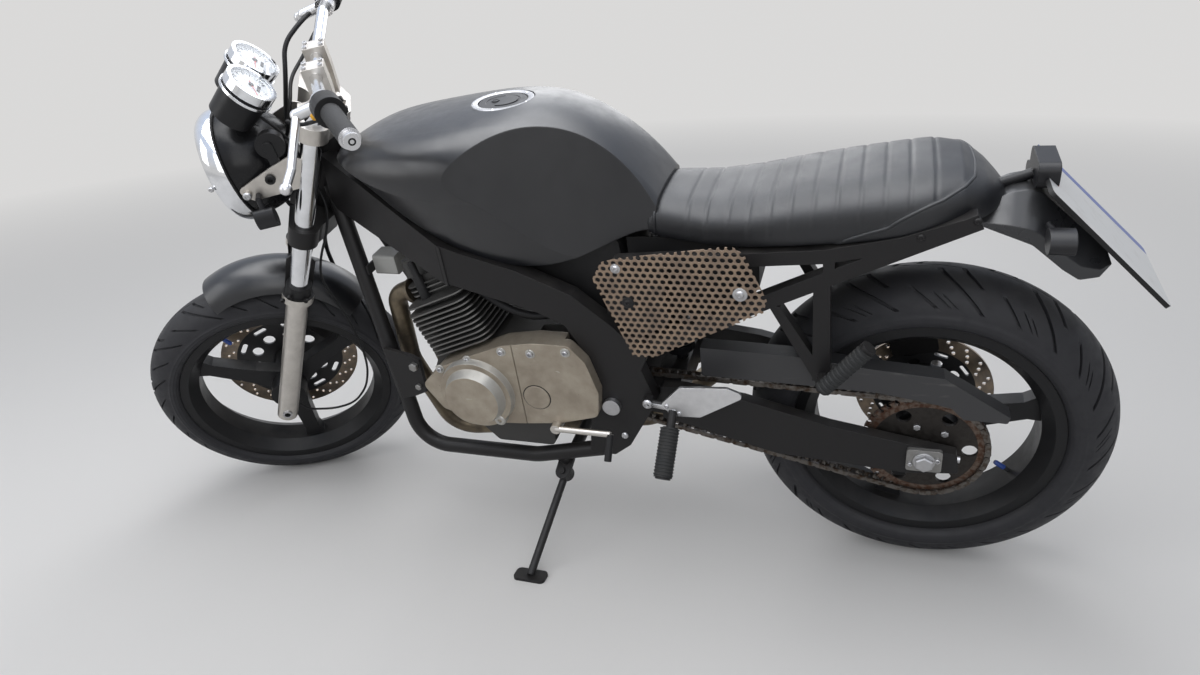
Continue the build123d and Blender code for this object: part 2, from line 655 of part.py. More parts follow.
# Cables of the front assembly: the brake hose down the right leg, the speedometer cable along the left one, and
# the wiring from both switch pods into the headlight bowl
BRAKE_HOSE_D = 9
SPEEDO_D = 5
WIRING_D = 7
BRAKE_HOSE = [BAR_AT + Vector(6, -200, 18), BAR_AT + Vector(30, -168, 14), BAR_AT + Vector(68, -142, -8),
              on_fork(700, -108, -52), on_fork(640, -92, -48), on_fork(560, -80, -33), on_fork(500, -70, -40),
              on_fork(450, -60, -38), on_fork(430, -61, 4), on_fork(418, -70, 42), on_fork(340, -75, 50),
              on_fork(260, -80, 84), on_fork(196, -84, 112), on_fork(150, -86, 86)]
SPEEDO_CABLE = [Vector(1388, 76, 282), Vector(1372, 78, 252), Vector(1318, 78, 233), Vector(1270, 78, 236),
                Vector(1230, 78, 274), Vector(1206, 78, 332), Vector(1196, 78, 404), Vector(1198, 78, 490),
                on_fork(370, 80, 40), on_fork(430, 82, 36), on_fork(488, 84, 43), on_fork(545, 80, 40),
                on_fork(606, 70, 6), on_fork(662, 60, -34), Vector(1168, 54, 932), Vector(1194, 48, 969)]
WIRING = [Vector(-26, 220, 10), Vector(6, 186, -10), Vector(38, 140, -34), Vector(70, 84, -50),
          Vector(78, 36, -74), Vector(94, 20, -106), Vector(110, 14, -124)]
with BuildPart() as brake_hose:
    cord(BRAKE_HOSE, BRAKE_HOSE_D)
    add(hand_controls.part, mode=Mode.SUBTRACT)
    add(front_caliper.part, mode=Mode.SUBTRACT)
with BuildPart() as speedo_cable:
    cord(SPEEDO_CABLE, SPEEDO_D)
    add(fork_sliders.part, mode=Mode.SUBTRACT)
    add(gauges.part, mode=Mode.SUBTRACT)
with BuildPart() as control_cables:
    for mirror_y in (-1, 1):
        cord([BAR_AT + Vector(spot.X, mirror_y * spot.Y, spot.Z) for spot in WIRING], WIRING_D)
    add(hand_controls.part, mode=Mode.SUBTRACT)
    add(headlight_bowl.part, mode=Mode.SUBTRACT)

# Main frame: head tube, perimeter spars and pivot plates
with BuildPart() as frame_spars:
    head = Plane(origin=on_fork(LOWER_YOKE + YOKE_THICK / 2 + SEAT_GAP, 0, FORK_OFFSET), x_dir=(0, 1, 0),
                 z_dir=STEER_DIR)
    head_length = UPPER_YOKE - LOWER_YOKE - YOKE_THICK - 2 * SEAT_GAP
    with BuildSketch(head):
        Circle(HEAD_R)
    extrude(amount=head_length)
    with BuildSketch(side(SPAR_Y + SPAR_W / 2)):
        with BuildLine():
            Polyline((846, 715), (800, 698), (700, 668), (600, 622), (530, 560), (476, 498), (488, 472),
                     (466, 402), (526, 294), (560, 266), (612, 266), (588, 420), (600, 520), (622, 560),
                     (670, 584), (760, 612), (846, 638), close=True)
        make_face()
        fillet(vertices(), 6)
    extrude(amount=SPAR_W)
    front = Vector(1104, 28, 0)
    rear = Vector(840, SPAR_Y, 0)
    run = front - rear
    with BuildSketch(Plane(origin=rear, x_dir=run, z_dir=run.cross(Vector(0, 0, 1)))):
        with BuildLine():
            Polyline((-10, 632), (run.length, 744), (run.length - 12, 850), (-10, 710), close=True)
        make_face()
    extrude(amount=SPAR_W / 2, both=True)
    mirror(about=Plane.XZ)
    with BuildSketch(head):
        Circle(STEM_R + 4)
    extrude(amount=head_length, mode=Mode.SUBTRACT)
    rod((508, -SPAR_Y, 520), (508, SPAR_Y, 520), 14)
    rod((570, -SPAR_Y, 284), (570, SPAR_Y, 284), 14)
    with BuildSketch(side(SPAR_Y + SPAR_W, *PIVOT)):
        Circle(PIVOT_R + AXLE_CLEAR)
    extrude(amount=2 * (SPAR_Y + SPAR_W), mode=Mode.SUBTRACT)

# Cradle: two downtubes that turn under the engine, with the lug for the side stand
STAND_PIVOT = Vector(688, RAIL_Y + 2, 184)
FOOT_T = 6
FOOT_ON_ROAD = on_road(718, 295)
FOOT_TOP = FOOT_ON_ROAD + ROAD_UP * FOOT_T
STAND_LEG = (FOOT_TOP - STAND_PIVOT).normalized()
STAND_FOLDED = Vector(-0.98, 0.17, 0.02).normalized()
STAND_AXIS = STAND_LEG.cross(STAND_FOLDED).normalized()
LUG_T = 8
LUG_R = 16
PIN_R = 6
PIN_CLEAR = 0.05
BOSS_T = 17
LEG_R = 8
with BuildPart() as frame_cradle:
    tube([(1112, 22, 780), (1024, 108, 396), (1008, RAIL_Y, 224), (740, RAIL_Y, 224), (590, RAIL_Y, 262)],
         DOWNTUBE_R, [140, 70, 90])
    mirror(about=Plane.XZ)
    with BuildSketch(Plane(origin=on_fork(0, 0, FORK_OFFSET), x_dir=(0, 1, 0), z_dir=STEER_DIR)):
        Circle(HEAD_R)
    extrude(amount=FORK_TOP, mode=Mode.SUBTRACT)
    add(frame_spars.part, mode=Mode.SUBTRACT)
    rod((660, -RAIL_Y, 240), (660, RAIL_Y, 240), 12)
    with BuildSketch(Plane(origin=STAND_PIVOT, x_dir=STAND_FOLDED, z_dir=STAND_AXIS)):
        Circle(LUG_R)
        with Locations((0, LUG_R)):
            Rectangle(2 * LUG_R, 2 * LUG_R)
    extrude(amount=LUG_T)
    rod((STAND_PIVOT.X, RAIL_Y, 224), STAND_PIVOT - STAND_LEG * 24 + STAND_AXIS * (LUG_T / 2), 10)
    with BuildSketch(Plane(origin=STAND_PIVOT, x_dir=STAND_FOLDED, z_dir=STAND_AXIS)):
        Circle(PIN_R + PIN_CLEAR)
    extrude(amount=LUG_T * 3, both=True, mode=Mode.SUBTRACT)

# Side stand: boss below the lug, pin, leg and foot
with BuildPart() as side_stand:
    below = STAND_PIVOT - STAND_AXIS * (BOSS_T + SEAT_GAP)
    with BuildSketch(Plane(origin=below, x_dir=STAND_FOLDED, z_dir=STAND_AXIS)):
        Circle(LUG_R)
    extrude(amount=BOSS_T)
    with BuildSketch(Plane(origin=below, x_dir=STAND_FOLDED, z_dir=STAND_AXIS)):
        Circle(PIN_R)
    extrude(amount=BOSS_T + LUG_T + SEAT_GAP + 4)
    rod(below + STAND_AXIS * (BOSS_T / 2), FOOT_TOP, LEG_R)
    with BuildSketch(Plane(origin=FOOT_ON_ROAD - ROAD_UP * LEG_R * 2, x_dir=(1, 0, 0), z_dir=ROAD_UP)):
        Rectangle(120, 120)
    extrude(amount=LEG_R * 2, mode=Mode.SUBTRACT)
    with BuildSketch(Plane(origin=FOOT_ON_ROAD, x_dir=(1, 0, 0), z_dir=ROAD_UP)):
        RectangleRounded(66, 34, 10)
    extrude(amount=FOOT_T)

# Engine: crankcase, finned barrels and head leaning forward, side covers, intake
CASE_Y = 118
SPROCKET_SIDE_Y = 72
CYL_TILT = 22
CYL_FOOT = Vector(842, 0, 488)
CYL_DIR = Vector(sin(radians(CYL_TILT)), 0, cos(radians(CYL_TILT)))
CYL_BACK = Vector(-cos(radians(CYL_TILT)), 0, sin(radians(CYL_TILT)))
FIN_PITCH = 10
FIN_THICK = 3
BARREL_FINS = 10
BARREL_H = BARREL_FINS * FIN_PITCH + 4
HEAD_FINS = 4
HEAD_H = HEAD_FINS * FIN_PITCH + 12
FIN_DEPTH = 148


def up_barrel(h):
    """Plane square to the cylinders at height h above their foot: left along the first axis."""
    return Plane(origin=CYL_FOOT + CYL_DIR * h, x_dir=(0, 1, 0), z_dir=CYL_DIR)


def at_head(h, back, y=0):
    """A point in the engine's tilted frame, h above the cylinders' foot and back behind their middle."""
    return CYL_FOOT + CYL_DIR * h + CYL_BACK * back + Vector(0, y, 0)


with BuildPart() as engine_case:
    with BuildSketch(side(CASE_Y)):
        with BuildLine():
            Polyline((905, 470), (930, 420), (905, 345), (860, 300), (820, 254), (700, 254), (660, 320),
                     (618, 345), (596, 480), (620, 520), (770, 510), close=True)
        make_face()
        fillet(vertices(), 12)
    extrude(amount=2 * CASE_Y)
    with BuildSketch(up_barrel(0)):
        Rectangle(2 * CASE_Y + 20, FIN_DEPTH + 40)
    extrude(amount=60, mode=Mode.SUBTRACT)
    for outer, depth in ((CASE_Y, CASE_Y - SPROCKET_SIDE_Y), (-SPAR_INNER + 4, CASE_Y)):
        with BuildSketch(side(outer, 636, 420)):
            Rectangle(116 if outer > 0 else 60, 300)
        extrude(amount=depth, mode=Mode.SUBTRACT)

with BuildPart() as cylinder_block:
    with BuildSketch(up_barrel(0)):
        RectangleRounded(226, 106, 30)
    extrude(amount=BARREL_H)
    for i in range(BARREL_FINS):
        with BuildSketch(up_barrel(6 + i * FIN_PITCH)):
            RectangleRounded(286, FIN_DEPTH, 26)
        extrude(amount=FIN_THICK)

with BuildPart() as cylinder_head:
    with BuildSketch(up_barrel(BARREL_H)):
        RectangleRounded(186, 118, 24)
    extrude(amount=HEAD_H)
    for i in range(HEAD_FINS):
        with BuildSketch(up_barrel(BARREL_H + 6 + i * FIN_PITCH)):
            RectangleRounded(270 if i < 1 else 2 * SPAR_INNER - 14, 144, 24)
        extrude(amount=FIN_THICK)
    with BuildSketch(up_barrel(BARREL_H + HEAD_H)):
        RectangleRounded(172, 150, 26)
    extrude(amount=34, taper=12)

COVER_T = 46
ALT_AT = (814, 412)
PLUG_AT = (692, 410)
PLUG_R = 14
COVER_SEAM_X = 724
SEAM_DEEP = 2
with BuildPart() as left_cover:
    with BuildSketch(side(CASE_Y + COVER_T)):
        with BuildLine():
            Polyline((934, 418), (888, 462), (820, 492), (745, 522), (682, 532), (612, 531), (584, 496),
                     (567, 430), (574, 376), (652, 352), (738, 342), (820, 336), (900, 362), close=True)
        make_face()
        fillet(vertices(), 16)
    extrude(amount=COVER_T)
    with BuildSketch(side(CASE_Y + COVER_T, *ALT_AT)):
        Circle(76)
    extrude(amount=-14, taper=12)
    with BuildSketch(side(CASE_Y + COVER_T + 14, *ALT_AT)):
        Circle(62)
    extrude(amount=-20, taper=20)
    with BuildSketch(side(SPAR_Y + SPAR_W / 2, 580, 420)):
        Rectangle(90, 360)
    extrude(amount=60, mode=Mode.SUBTRACT)
    with BuildSketch(side(CASE_Y + COVER_T, *PLUG_AT)):
        Circle(PLUG_R + 3)
        Circle(PLUG_R, mode=Mode.SUBTRACT)
    extrude(amount=SEAM_DEEP, mode=Mode.SUBTRACT)
    with BuildSketch(side(CASE_Y + COVER_T, COVER_SEAM_X, ALT_AT[1])):
        Rectangle(SEAM_DEEP, 260)
    extrude(amount=SEAM_DEEP, mode=Mode.SUBTRACT)
    with BuildSketch(side(SPAR_Y + SPAR_W / 2)):
        for z in (386, 405, 424):
            with Locations((608, z)):
                Rectangle(24, 5)
    extrude(amount=-3)

with BuildPart() as right_cover:
    with BuildSketch(side(-CASE_Y)):
        with BuildLine():
            Polyline((900, 440), (850, 484), (700, 512), (630, 480), (622, 380), (660, 330), (840, 330), (895, 370),
                     close=True)
        make_face()
        fillet(vertices(), 18)
    extrude(amount=44)
    with BuildSketch(side(-CASE_Y - 44, 716, 420)):
        Circle(80)
    extrude(amount=22, taper=15)

INTAKE_Y = 52
AIRBOX_HALF = 88
PORT_H = BARREL_H + 30
with BuildPart() as intake:
    for y in (-INTAKE_Y, INTAKE_Y):
        rod(at_head(PORT_H, 72.3, y), at_head(PORT_H, 134, y), 21)
        body = at_head(PORT_H, 128, y)
        with BuildSketch(Plane(origin=body, x_dir=(0, 1, 0), z_dir=CYL_BACK)):
            RectangleRounded(56, 96, 8)
        extrude(amount=58)
        rod(at_head(PORT_H, 180, y), (636, y, 672), 24)
    with BuildSketch(side(AIRBOX_HALF)):
        with BuildLine():
            Polyline((704, 728), (520, 708), (508, 604), (570, 556), (640, 584), (704, 640), close=True)
        make_face()
        fillet(vertices(), 12)
    extrude(amount=2 * AIRBOX_HALF)

# Breather hose from the back of the cylinders to the airbox
BREATHER_D = 16
with BuildPart() as breather_hose:
    cord([(800, 97, 600), (766, 98, 574), (728, 98, 555), (690, 96, 548), (652, 90, 556), (624, 80, 584)], BREATHER_D)
    add(cylinder_block.part, mode=Mode.SUBTRACT)
    add(intake.part, mode=Mode.SUBTRACT)

# Ignition coil on a cross plate between the downtubes
COIL_AT = Vector(1030, 22, 616)
COIL_PLATE_T = 4
with BuildPart() as ignition_coil:
    with BuildSketch(Plane(origin=COIL_AT + Vector(24, 0, 0), x_dir=(0, 1, 0), z_dir=(-1, 0, 0))):
        RectangleRounded(46, 42, 6)
    extrude(amount=50)
    with BuildSketch(Plane(origin=COIL_AT + Vector(24 + COIL_PLATE_T, -COIL_AT.Y, 0), x_dir=(0, 1, 0), z_dir=(-1, 0, 0))):
        Rectangle(136, 20)
    extrude(amount=COIL_PLATE_T)
    add(frame_cradle.part, mode=Mode.SUBTRACT)

# Exhaust: two headers sweeping down in front of the engine, joined under it, silencer on the right
PIPE_R = 19
SILENCER_R = 50
SILENCER_FROM = Vector(350, -188, 268)
SILENCER_TO = Vector(-30, -206, 334)
silencer_dir = (SILENCER_TO - SILENCER_FROM).normalized()
with BuildPart() as exhaust_pipes:
    for y in (56, -56):
        port = at_head(BARREL_H + 24, -72.5, y)
        tube([port, port - CYL_BACK * 62, (1024, y * 0.92, 400), (972, y * 0.6, 206), (800, y * 0.4 - 30, 200),
              (624, -56 + y * 0.32, 202)], PIPE_R, [34, 90, 70, 60])
        with BuildSketch(Plane(origin=port, x_dir=(0, 1, 0), z_dir=CYL_BACK)):
            SlotOverall(86, 48)
        extrude(amount=-8)
    joint = SILENCER_FROM - silencer_dir * 70
    tube([(650, -56, 202), (540, -66, 206), joint, SILENCER_FROM], PIPE_R + 5, [60, 60])

with BuildPart() as silencer:
    with BuildSketch(Plane(origin=SILENCER_FROM, z_dir=silencer_dir)):
        Circle(SILENCER_R)
    extrude(amount=(SILENCER_TO - SILENCER_FROM).length)
    fillet(silencer.faces().sort_by(Axis.X)[0].edges(), 8)
    chamfer(silencer.faces().sort_by(Axis.X)[-1].edges(), 20)
    with BuildSketch(Plane(origin=SILENCER_TO, z_dir=silencer_dir)):
        Circle(20)
    extrude(amount=-60, mode=Mode.SUBTRACT)

# Swingarm, shock, rear axle, brake
ARM_IN = CHAIN_Y + CHAIN_W / 2 + 3
ARM_OUT = ARM_IN + 22
with BuildPart() as swingarm:
    with BuildSketch(side(ARM_OUT)):
        with BuildLine():
            Polyline((462, 424), (420, 424), (310, 408), (160, 366), (-52, REAR_TYRE_R + 13),
                     (-58, REAR_TYRE_R - 27), (26, REAR_TYRE_R - 37), (250, 292), (420, 342), (462, 352), close=True)
        make_face()
        fillet(vertices(), 5)
    extrude(amount=ARM_OUT - ARM_IN)
    with BuildSketch(side(SPAR_INNER - 0.5)):
        with BuildLine():
            Polyline((430, 418), (552, 412), (552, 364), (430, 348), close=True)
        make_face()
        with Locations(PIVOT):
            Circle(26)
    extrude(amount=36)
    mirror(about=Plane.XZ)
    with BuildSketch(side(SPAR_INNER - 1, *PIVOT)):
        Circle(24)
    extrude(amount=2 * SPAR_INNER - 2)
    with BuildSketch(side(80, 456, 384)):
        Rectangle(52, 56)
    extrude(amount=160)
    with BuildSketch(side(ARM_OUT + 1, 0, REAR_TYRE_R)):
        SlotOverall(56, 2 * (AXLE_R + AXLE_CLEAR))
    extrude(amount=2 * ARM_OUT + 2, mode=Mode.SUBTRACT)
    with BuildSketch(side(SPAR_INNER, *PIVOT)):
        Circle(PIVOT_R + AXLE_CLEAR)
    extrude(amount=2 * SPAR_INNER, mode=Mode.SUBTRACT)

with BuildPart() as swingarm_pivot:
    with BuildSketch(side(SPAR_Y + SPAR_W / 2 + 8, *PIVOT)):
        Circle(PIVOT_R)
    extrude(amount=2 * (SPAR_Y + SPAR_W / 2 + 8))
    for y in (SPAR_Y + SPAR_W / 2 + 10, -SPAR_Y - SPAR_W / 2):
        with BuildSketch(side(y, *PIVOT)):
            Circle(17)
        extrude(amount=10)

with BuildPart() as rear_shock:
    rod((446, 0, 413.7), (470, 0, 640), 12)
    rod((450, 0, 446), (468, 0, 616), 30)

ADJUSTER_T = 8
with BuildPart() as rear_axle:
    with BuildSketch(side(ARM_OUT + ADJUSTER_T + 12, 0, REAR_TYRE_R)):
        Circle(AXLE_R)
    extrude(amount=2 * (ARM_OUT + ADJUSTER_T + 12))
    for y in (ARM_OUT + ADJUSTER_T, -ARM_OUT):
        with BuildSketch(side(y, 0, REAR_TYRE_R)):
            RectangleRounded(58, 46, 5)
            Circle(AXLE_R, mode=Mode.SUBTRACT)
        extrude(amount=ADJUSTER_T)
    for start, end in ((ARM_IN, CHAIN_Y + SPROCKET_THICK / 2 + HUB_GAP), (REAR_DISC_Y - DISC_THICK - HUB_GAP, -ARM_IN)):
        with BuildSketch(side(start, 0, REAR_TYRE_R)):
            Circle(SPACER_R)
            Circle(AXLE_R, mode=Mode.SUBTRACT)
        extrude(amount=start - end)

rear_caliper = make_caliper(REAR_AXLE, REAR_DISC_Y, REAR_DISC_R, 78, 84, 44, 9, 3)
with BuildPart() as rear_caliper_stay:
    with BuildSketch(side(-ARM_IN + 6)):
        with BuildLine():
            Polyline((-16, REAR_TYRE_R + 26), (22, REAR_TYRE_R + 10), (70, REAR_TYRE_R + 90), (50, REAR_TYRE_R + 124),
                     (0, REAR_TYRE_R + 128), close=True)
        make_face()
    extrude(amount=6)
    add(swingarm.part, mode=Mode.SUBTRACT)
    add(rear_caliper.part, mode=Mode.SUBTRACT)
with BuildPart() as joined_rear_caliper:
    add(rear_caliper.part)
    add(rear_caliper_stay.part.solids().sort_by(SortBy.VOLUME)[-1])
rear_caliper = joined_rear_caliper

# Drive chain: side plates of one closed loop, either side of the sprocket teeth
PLATE_T = 4
PLATE_HALF_H = 7
with BuildPart() as chain:
    reach = hypot(FRONT_SPROCKET[0], FRONT_SPROCKET[1] - REAR_TYRE_R)
    line = Vector(FRONT_SPROCKET[0], 0, FRONT_SPROCKET[1] - REAR_TYRE_R)
    wrap = asin((REAR_PITCH_R - FRONT_PITCH_R) / reach)
    up = (sin(wrap), cos(wrap))
    for y in (CHAIN_Y + CHAIN_W / 2, CHAIN_Y - CHAIN_W / 2 + PLATE_T):
        for offset, mode in ((PLATE_HALF_H, Mode.ADD), (-PLATE_HALF_H, Mode.SUBTRACT)):
            big, small = REAR_PITCH_R + offset, FRONT_PITCH_R + offset
            with BuildSketch(Plane(origin=(0, y, REAR_TYRE_R), x_dir=line, z_dir=(0, -1, 0))):
                with BuildLine():
                    Line((big * up[0], big * up[1]), (reach + small * up[0], small * up[1]))
                    ThreePointArc((reach + small * up[0], small * up[1]), (reach + small, 0),
                                  (reach + small * up[0], -small * up[1]))
                    Line((reach + small * up[0], -small * up[1]), (big * up[0], -big * up[1]))
                    ThreePointArc((big * up[0], -big * up[1]), (-big, 0), (big * up[0], big * up[1]))
                make_face()
            extrude(amount=PLATE_T, mode=mode)

with BuildPart() as front_sprocket:
    with BuildSketch(side(CHAIN_Y + SPROCKET_THICK / 2, *FRONT_SPROCKET)):
        Circle(FRONT_PITCH_R + 4)
        with PolarLocations(FRONT_PITCH_R, FRONT_TEETH):
            Circle(4.6, mode=Mode.SUBTRACT)
    extrude(amount=SPROCKET_THICK)
    with BuildSketch(side(CHAIN_Y + SPROCKET_THICK / 2 + 8, *FRONT_SPROCKET)):
        Circle(14)
    extrude(amount=CHAIN_Y + SPROCKET_THICK / 2 + 8 - SPROCKET_SIDE_Y)

COVER_OUT = CHAIN_Y + 19
with BuildPart() as chain_guard:
    with BuildSketch(side(COVER_OUT)):
        with BuildLine():
            Polyline((386, 506), (222, 500), (98, 484), (-20, 474), (-127, 404), (-124, 392), (-56, 393),
                     (-35, 416), (79, 436), (187, 440), (316, 444), (386, 446), close=True)
        make_face()
        fillet(vertices(), 4)
    extrude(amount=3)
    with BuildSketch(side(COVER_OUT)):
        with BuildLine():
            Polyline((386, 506), (222, 500), (98, 484), (-20, 474), (-127, 404), (-124, 398), (-20, 468),
                     (98, 478), (222, 494), (386, 500), close=True)
        make_face()
    extrude(amount=32)

# Subframe: two bays of square tube with the hangers for the passenger's pegs
with BuildPart() as subframe:
    with BuildSketch(side(SUBFRAME_Y + SUBFRAME_TUBE / 2)):
        with BuildLine():
            Polyline((460, 506), (470, 530), (262, 636), (-36, 780), (-46, 758), (252, 612), close=True)
        make_face()
        with BuildLine():
            Polyline((520, 690), (520, 668), (176, 694), (60, 718), (-30, 754), (-36, 778), (64, 742), (176, 718),
                     close=True)
        make_face()
        with BuildLine():
            Polyline((190, 650), (164, 660), (160, 470), (190, 470), close=True)
        make_face()
        with BuildLine():
            Polyline((262, 616), (242, 612), (160, 470), (184, 466), close=True)
        make_face()
        with BuildLine():
            Polyline((176, 712), (158, 716), (158, 660), (176, 650), close=True)
        make_face()
    extrude(amount=SUBFRAME_TUBE)
    mirror(about=Plane.XZ)
    rod((-30, -SUBFRAME_Y, 765), (-30, SUBFRAME_Y, 765), 11)
    rod((300, -SUBFRAME_Y, 696), (300, SUBFRAME_Y, 696), 10)
    rod((480, -SUBFRAME_Y, 660), (480, SUBFRAME_Y, 660), 12)
    add(frame_spars.part, mode=Mode.SUBTRACT)
    add(intake.part, mode=Mode.SUBTRACT)

# Battery box between the side panels: a closed box under the seat, with two cheeks forward past the shock
BOX_HALF = 78
BOX_WALL = 4
BOX_X = (282, 420, 507)
BOX_Z = (560, 708)
with BuildPart() as battery_box:
    with BuildSketch(side(BOX_HALF)):
        with BuildLine():
            Polyline((BOX_X[0], BOX_Z[0] + 60), (BOX_X[0], BOX_Z[1]), (BOX_X[1], BOX_Z[1]), (BOX_X[1], BOX_Z[0]),
                     (BOX_X[0] + 50, BOX_Z[0]), close=True)
        make_face()
    extrude(amount=2 * BOX_HALF)
    for outer in (BOX_HALF, -BOX_HALF + BOX_WALL):
        with BuildSketch(side(outer, BOX_X[1], BOX_Z[0])):
            Rectangle(BOX_X[2] - BOX_X[1], BOX_Z[1] - BOX_Z[0], align=(Align.MIN, Align.MIN))
        extrude(amount=BOX_WALL)
    add(subframe.part, mode=Mode.SUBTRACT)
    add(intake.part, mode=Mode.SUBTRACT)
    add(frame_spars.part, mode=Mode.SUBTRACT)

# Rider's and passenger's footrests, heel plates, foot levers
PEG_Y = SPAR_Y + SPAR_W / 2
HANGER_Y = SUBFRAME_Y + SUBFRAME_TUBE / 2
with BuildPart() as footrests:
    for mirror_y in (-1, 1):
        with BuildSketch(side(mirror_y * (PEG_Y + 21) + 3)):
            with BuildLine():
                Polyline((452, 416), (414, 458), (330, 464), (296, 450), (380, 396), (428, 394), close=True)
            make_face()
            fillet(vertices(), 8)
        extrude(amount=6)
        rod((478, mirror_y * PEG_Y, 410), (478, mirror_y * (PEG_Y + 16), 410), 11)
        rod((478, mirror_y * (PEG_Y + 11), 410), (424, mirror_y * (PEG_Y + 11), 404), 8)
        rod((430, mirror_y * (PEG_Y + 8), 404), (430, mirror_y * (PEG_Y + 24), 404), 9)
        rod((430, mirror_y * (PEG_Y + 20), 404), (432, mirror_y * (PEG_Y + 44), 378), 8)
        rod((432, mirror_y * (PEG_Y + 40), 380), (436, mirror_y * (PEG_Y + 108), 316), 14)
        rod((172, mirror_y * HANGER_Y, 480), (172, mirror_y * (HANGER_Y + 34), 480), 9)
        rod((172, mirror_y * (HANGER_Y + 30), 476), (100, mirror_y * (HANGER_Y + 32), 566), 13)

with BuildPart() as foot_levers:
    rod((660, CASE_Y + COVER_T - 24, 347), (660, CASE_Y + COVER_T + 16, 347), 10)
    rod((660, CASE_Y + COVER_T + 12, 347), (550, CASE_Y + COVER_T + 14, 348), 6)
    rod((550, CASE_Y + COVER_T + 14, 348), (552, CASE_Y + COVER_T + 42, 306), 7)
    add(left_cover.part, mode=Mode.SUBTRACT)
    rod((560, -PEG_Y, 330), (560, -PEG_Y - 30, 330), 11)
    rod((560, -PEG_Y - 22, 330), (700, -PEG_Y - 46, 300), 7)
    rod((700, -PEG_Y - 44, 300), (704, -PEG_Y - 80, 302), 10)

# Fuel tank: lofted body with round shoulders, pressed in at the knees, with a tunnel over the frame
# columns: station x, underside z, top z, half width at the bottom, greatest half width, height of that width
TANK_STATIONS = (
    (446, 730, 782, 90, 100, 752),
    (560, 694, 896, 112, 128, 780),
    (690, 670, 930, 124, 158, 800),
    (840, 722, 917, 128, 166, 812),
    (960, 798, 897, 104, 144, 842),
    (1034, 846, 872, 60, 86, 858),
)
SHOULDER_ACROSS = 0.66
SHOULDER_FALL = 0.10
TUNNEL_HALF = 78
CAP_X = 727
CAP_R = 56
CAP_SEAT_Z = 918
KNEE_Z = 780
KNEE_TILT = 9
KNEE_LINE = ((430, 88), (570, 94), (655, 124), (720, 158), (800, 182))
with BuildPart() as fuel_tank:
    for x, low, top, foot, wide, wide_z in TANK_STATIONS:
        with BuildSketch(Plane(origin=(x, 0, 0), x_dir=(0, 1, 0), z_dir=(1, 0, 0))):
            with BuildLine():
                Polyline((-wide, wide_z), (-foot, low), (foot, low), (wide, wide_z))
                shoulder = (wide * SHOULDER_ACROSS, top - (top - wide_z) * SHOULDER_FALL)
                crown = ThreePointArc((-shoulder[0], shoulder[1]), (0, top), shoulder)
                TangentArc(crown @ 1, (wide, wide_z), tangent=crown % 1)
                TangentArc(crown @ 0, (-wide, wide_z), tangent=-(crown % 0))
            make_face()
    loft(ruled=False)
    with BuildSketch(side(TUNNEL_HALF)):
        with BuildLine():
            Polyline((430, 640), (430, 742), (560, 748), (980, 812), (1060, 850), (1060, 640), close=True)
        make_face()
    extrude(amount=2 * TUNNEL_HALF, mode=Mode.SUBTRACT)
    for mirror_y in (-1, 1):
        tilt = Vector(0, -mirror_y * sin(radians(KNEE_TILT)), cos(radians(KNEE_TILT)))
        with BuildSketch(Plane(origin=(0, 0, KNEE_Z), x_dir=(1, 0, 0), z_dir=tilt)):
            with BuildLine():
                Spline(*[(x, mirror_y * y) for x, y in KNEE_LINE])
                last, first = KNEE_LINE[-1], KNEE_LINE[0]
                Polyline((last[0], mirror_y * last[1]), (last[0], mirror_y * 240), (first[0], mirror_y * 240),
                         (first[0], mirror_y * first[1]))
            make_face()
        extrude(amount=170, both=True, mode=Mode.SUBTRACT)
    with BuildSketch(Plane.XY.offset(CAP_SEAT_Z)):
        with Locations((CAP_X, 0)):
            Circle(CAP_R + SEAT_GAP)
    extrude(amount=30, mode=Mode.SUBTRACT)
    add(frame_spars.part, mode=Mode.SUBTRACT)
    add(subframe.part, mode=Mode.SUBTRACT)
    add(intake.part, mode=Mode.SUBTRACT)

with BuildPart() as filler_cap:
    with BuildSketch(Plane.XY.offset(CAP_SEAT_Z)):
        with Locations((CAP_X, 0)):
            Circle(CAP_R)
    extrude(amount=9)

# Seat: padded saddle with a low hump, on the subframe's upper rails
# columns: station x, underside z, top z, half width
SEAT_STATIONS = (
    (460, 722, 772, 94),
    (420, 714, 777, 104),
    (294, 713, 781, 124),
    (154, 725, 808, 129),
    (24, 749, 825, 127),
    (-40, 757, 806, 104),
    (-78, 758, 772, 46),
)
with BuildPart() as seat:
    for x, low, top, wide in SEAT_STATIONS:
        with BuildSketch(Plane(origin=(x, 0, 0), x_dir=(0, 1, 0), z_dir=(1, 0, 0))):
            with BuildLine():
                edge = (wide, low + (top - low) * 0.35)
                shoulder = (wide * 0.70, top - (top - low) * 0.08)
                Polyline((-edge[0], edge[1]), (-wide * 0.95, low), (wide * 0.95, low), edge)
                crown = ThreePointArc((-shoulder[0], shoulder[1]), (0, top), shoulder)
                TangentArc(crown @ 1, edge, tangent=crown % 1)
                TangentArc(crown @ 0, (-edge[0], edge[1]), tangent=-(crown % 0))
            make_face()
    loft(ruled=False)
    add(fuel_tank.part, mode=Mode.SUBTRACT)
    add(subframe.part, mode=Mode.SUBTRACT)
    add(battery_box.part, mode=Mode.SUBTRACT)

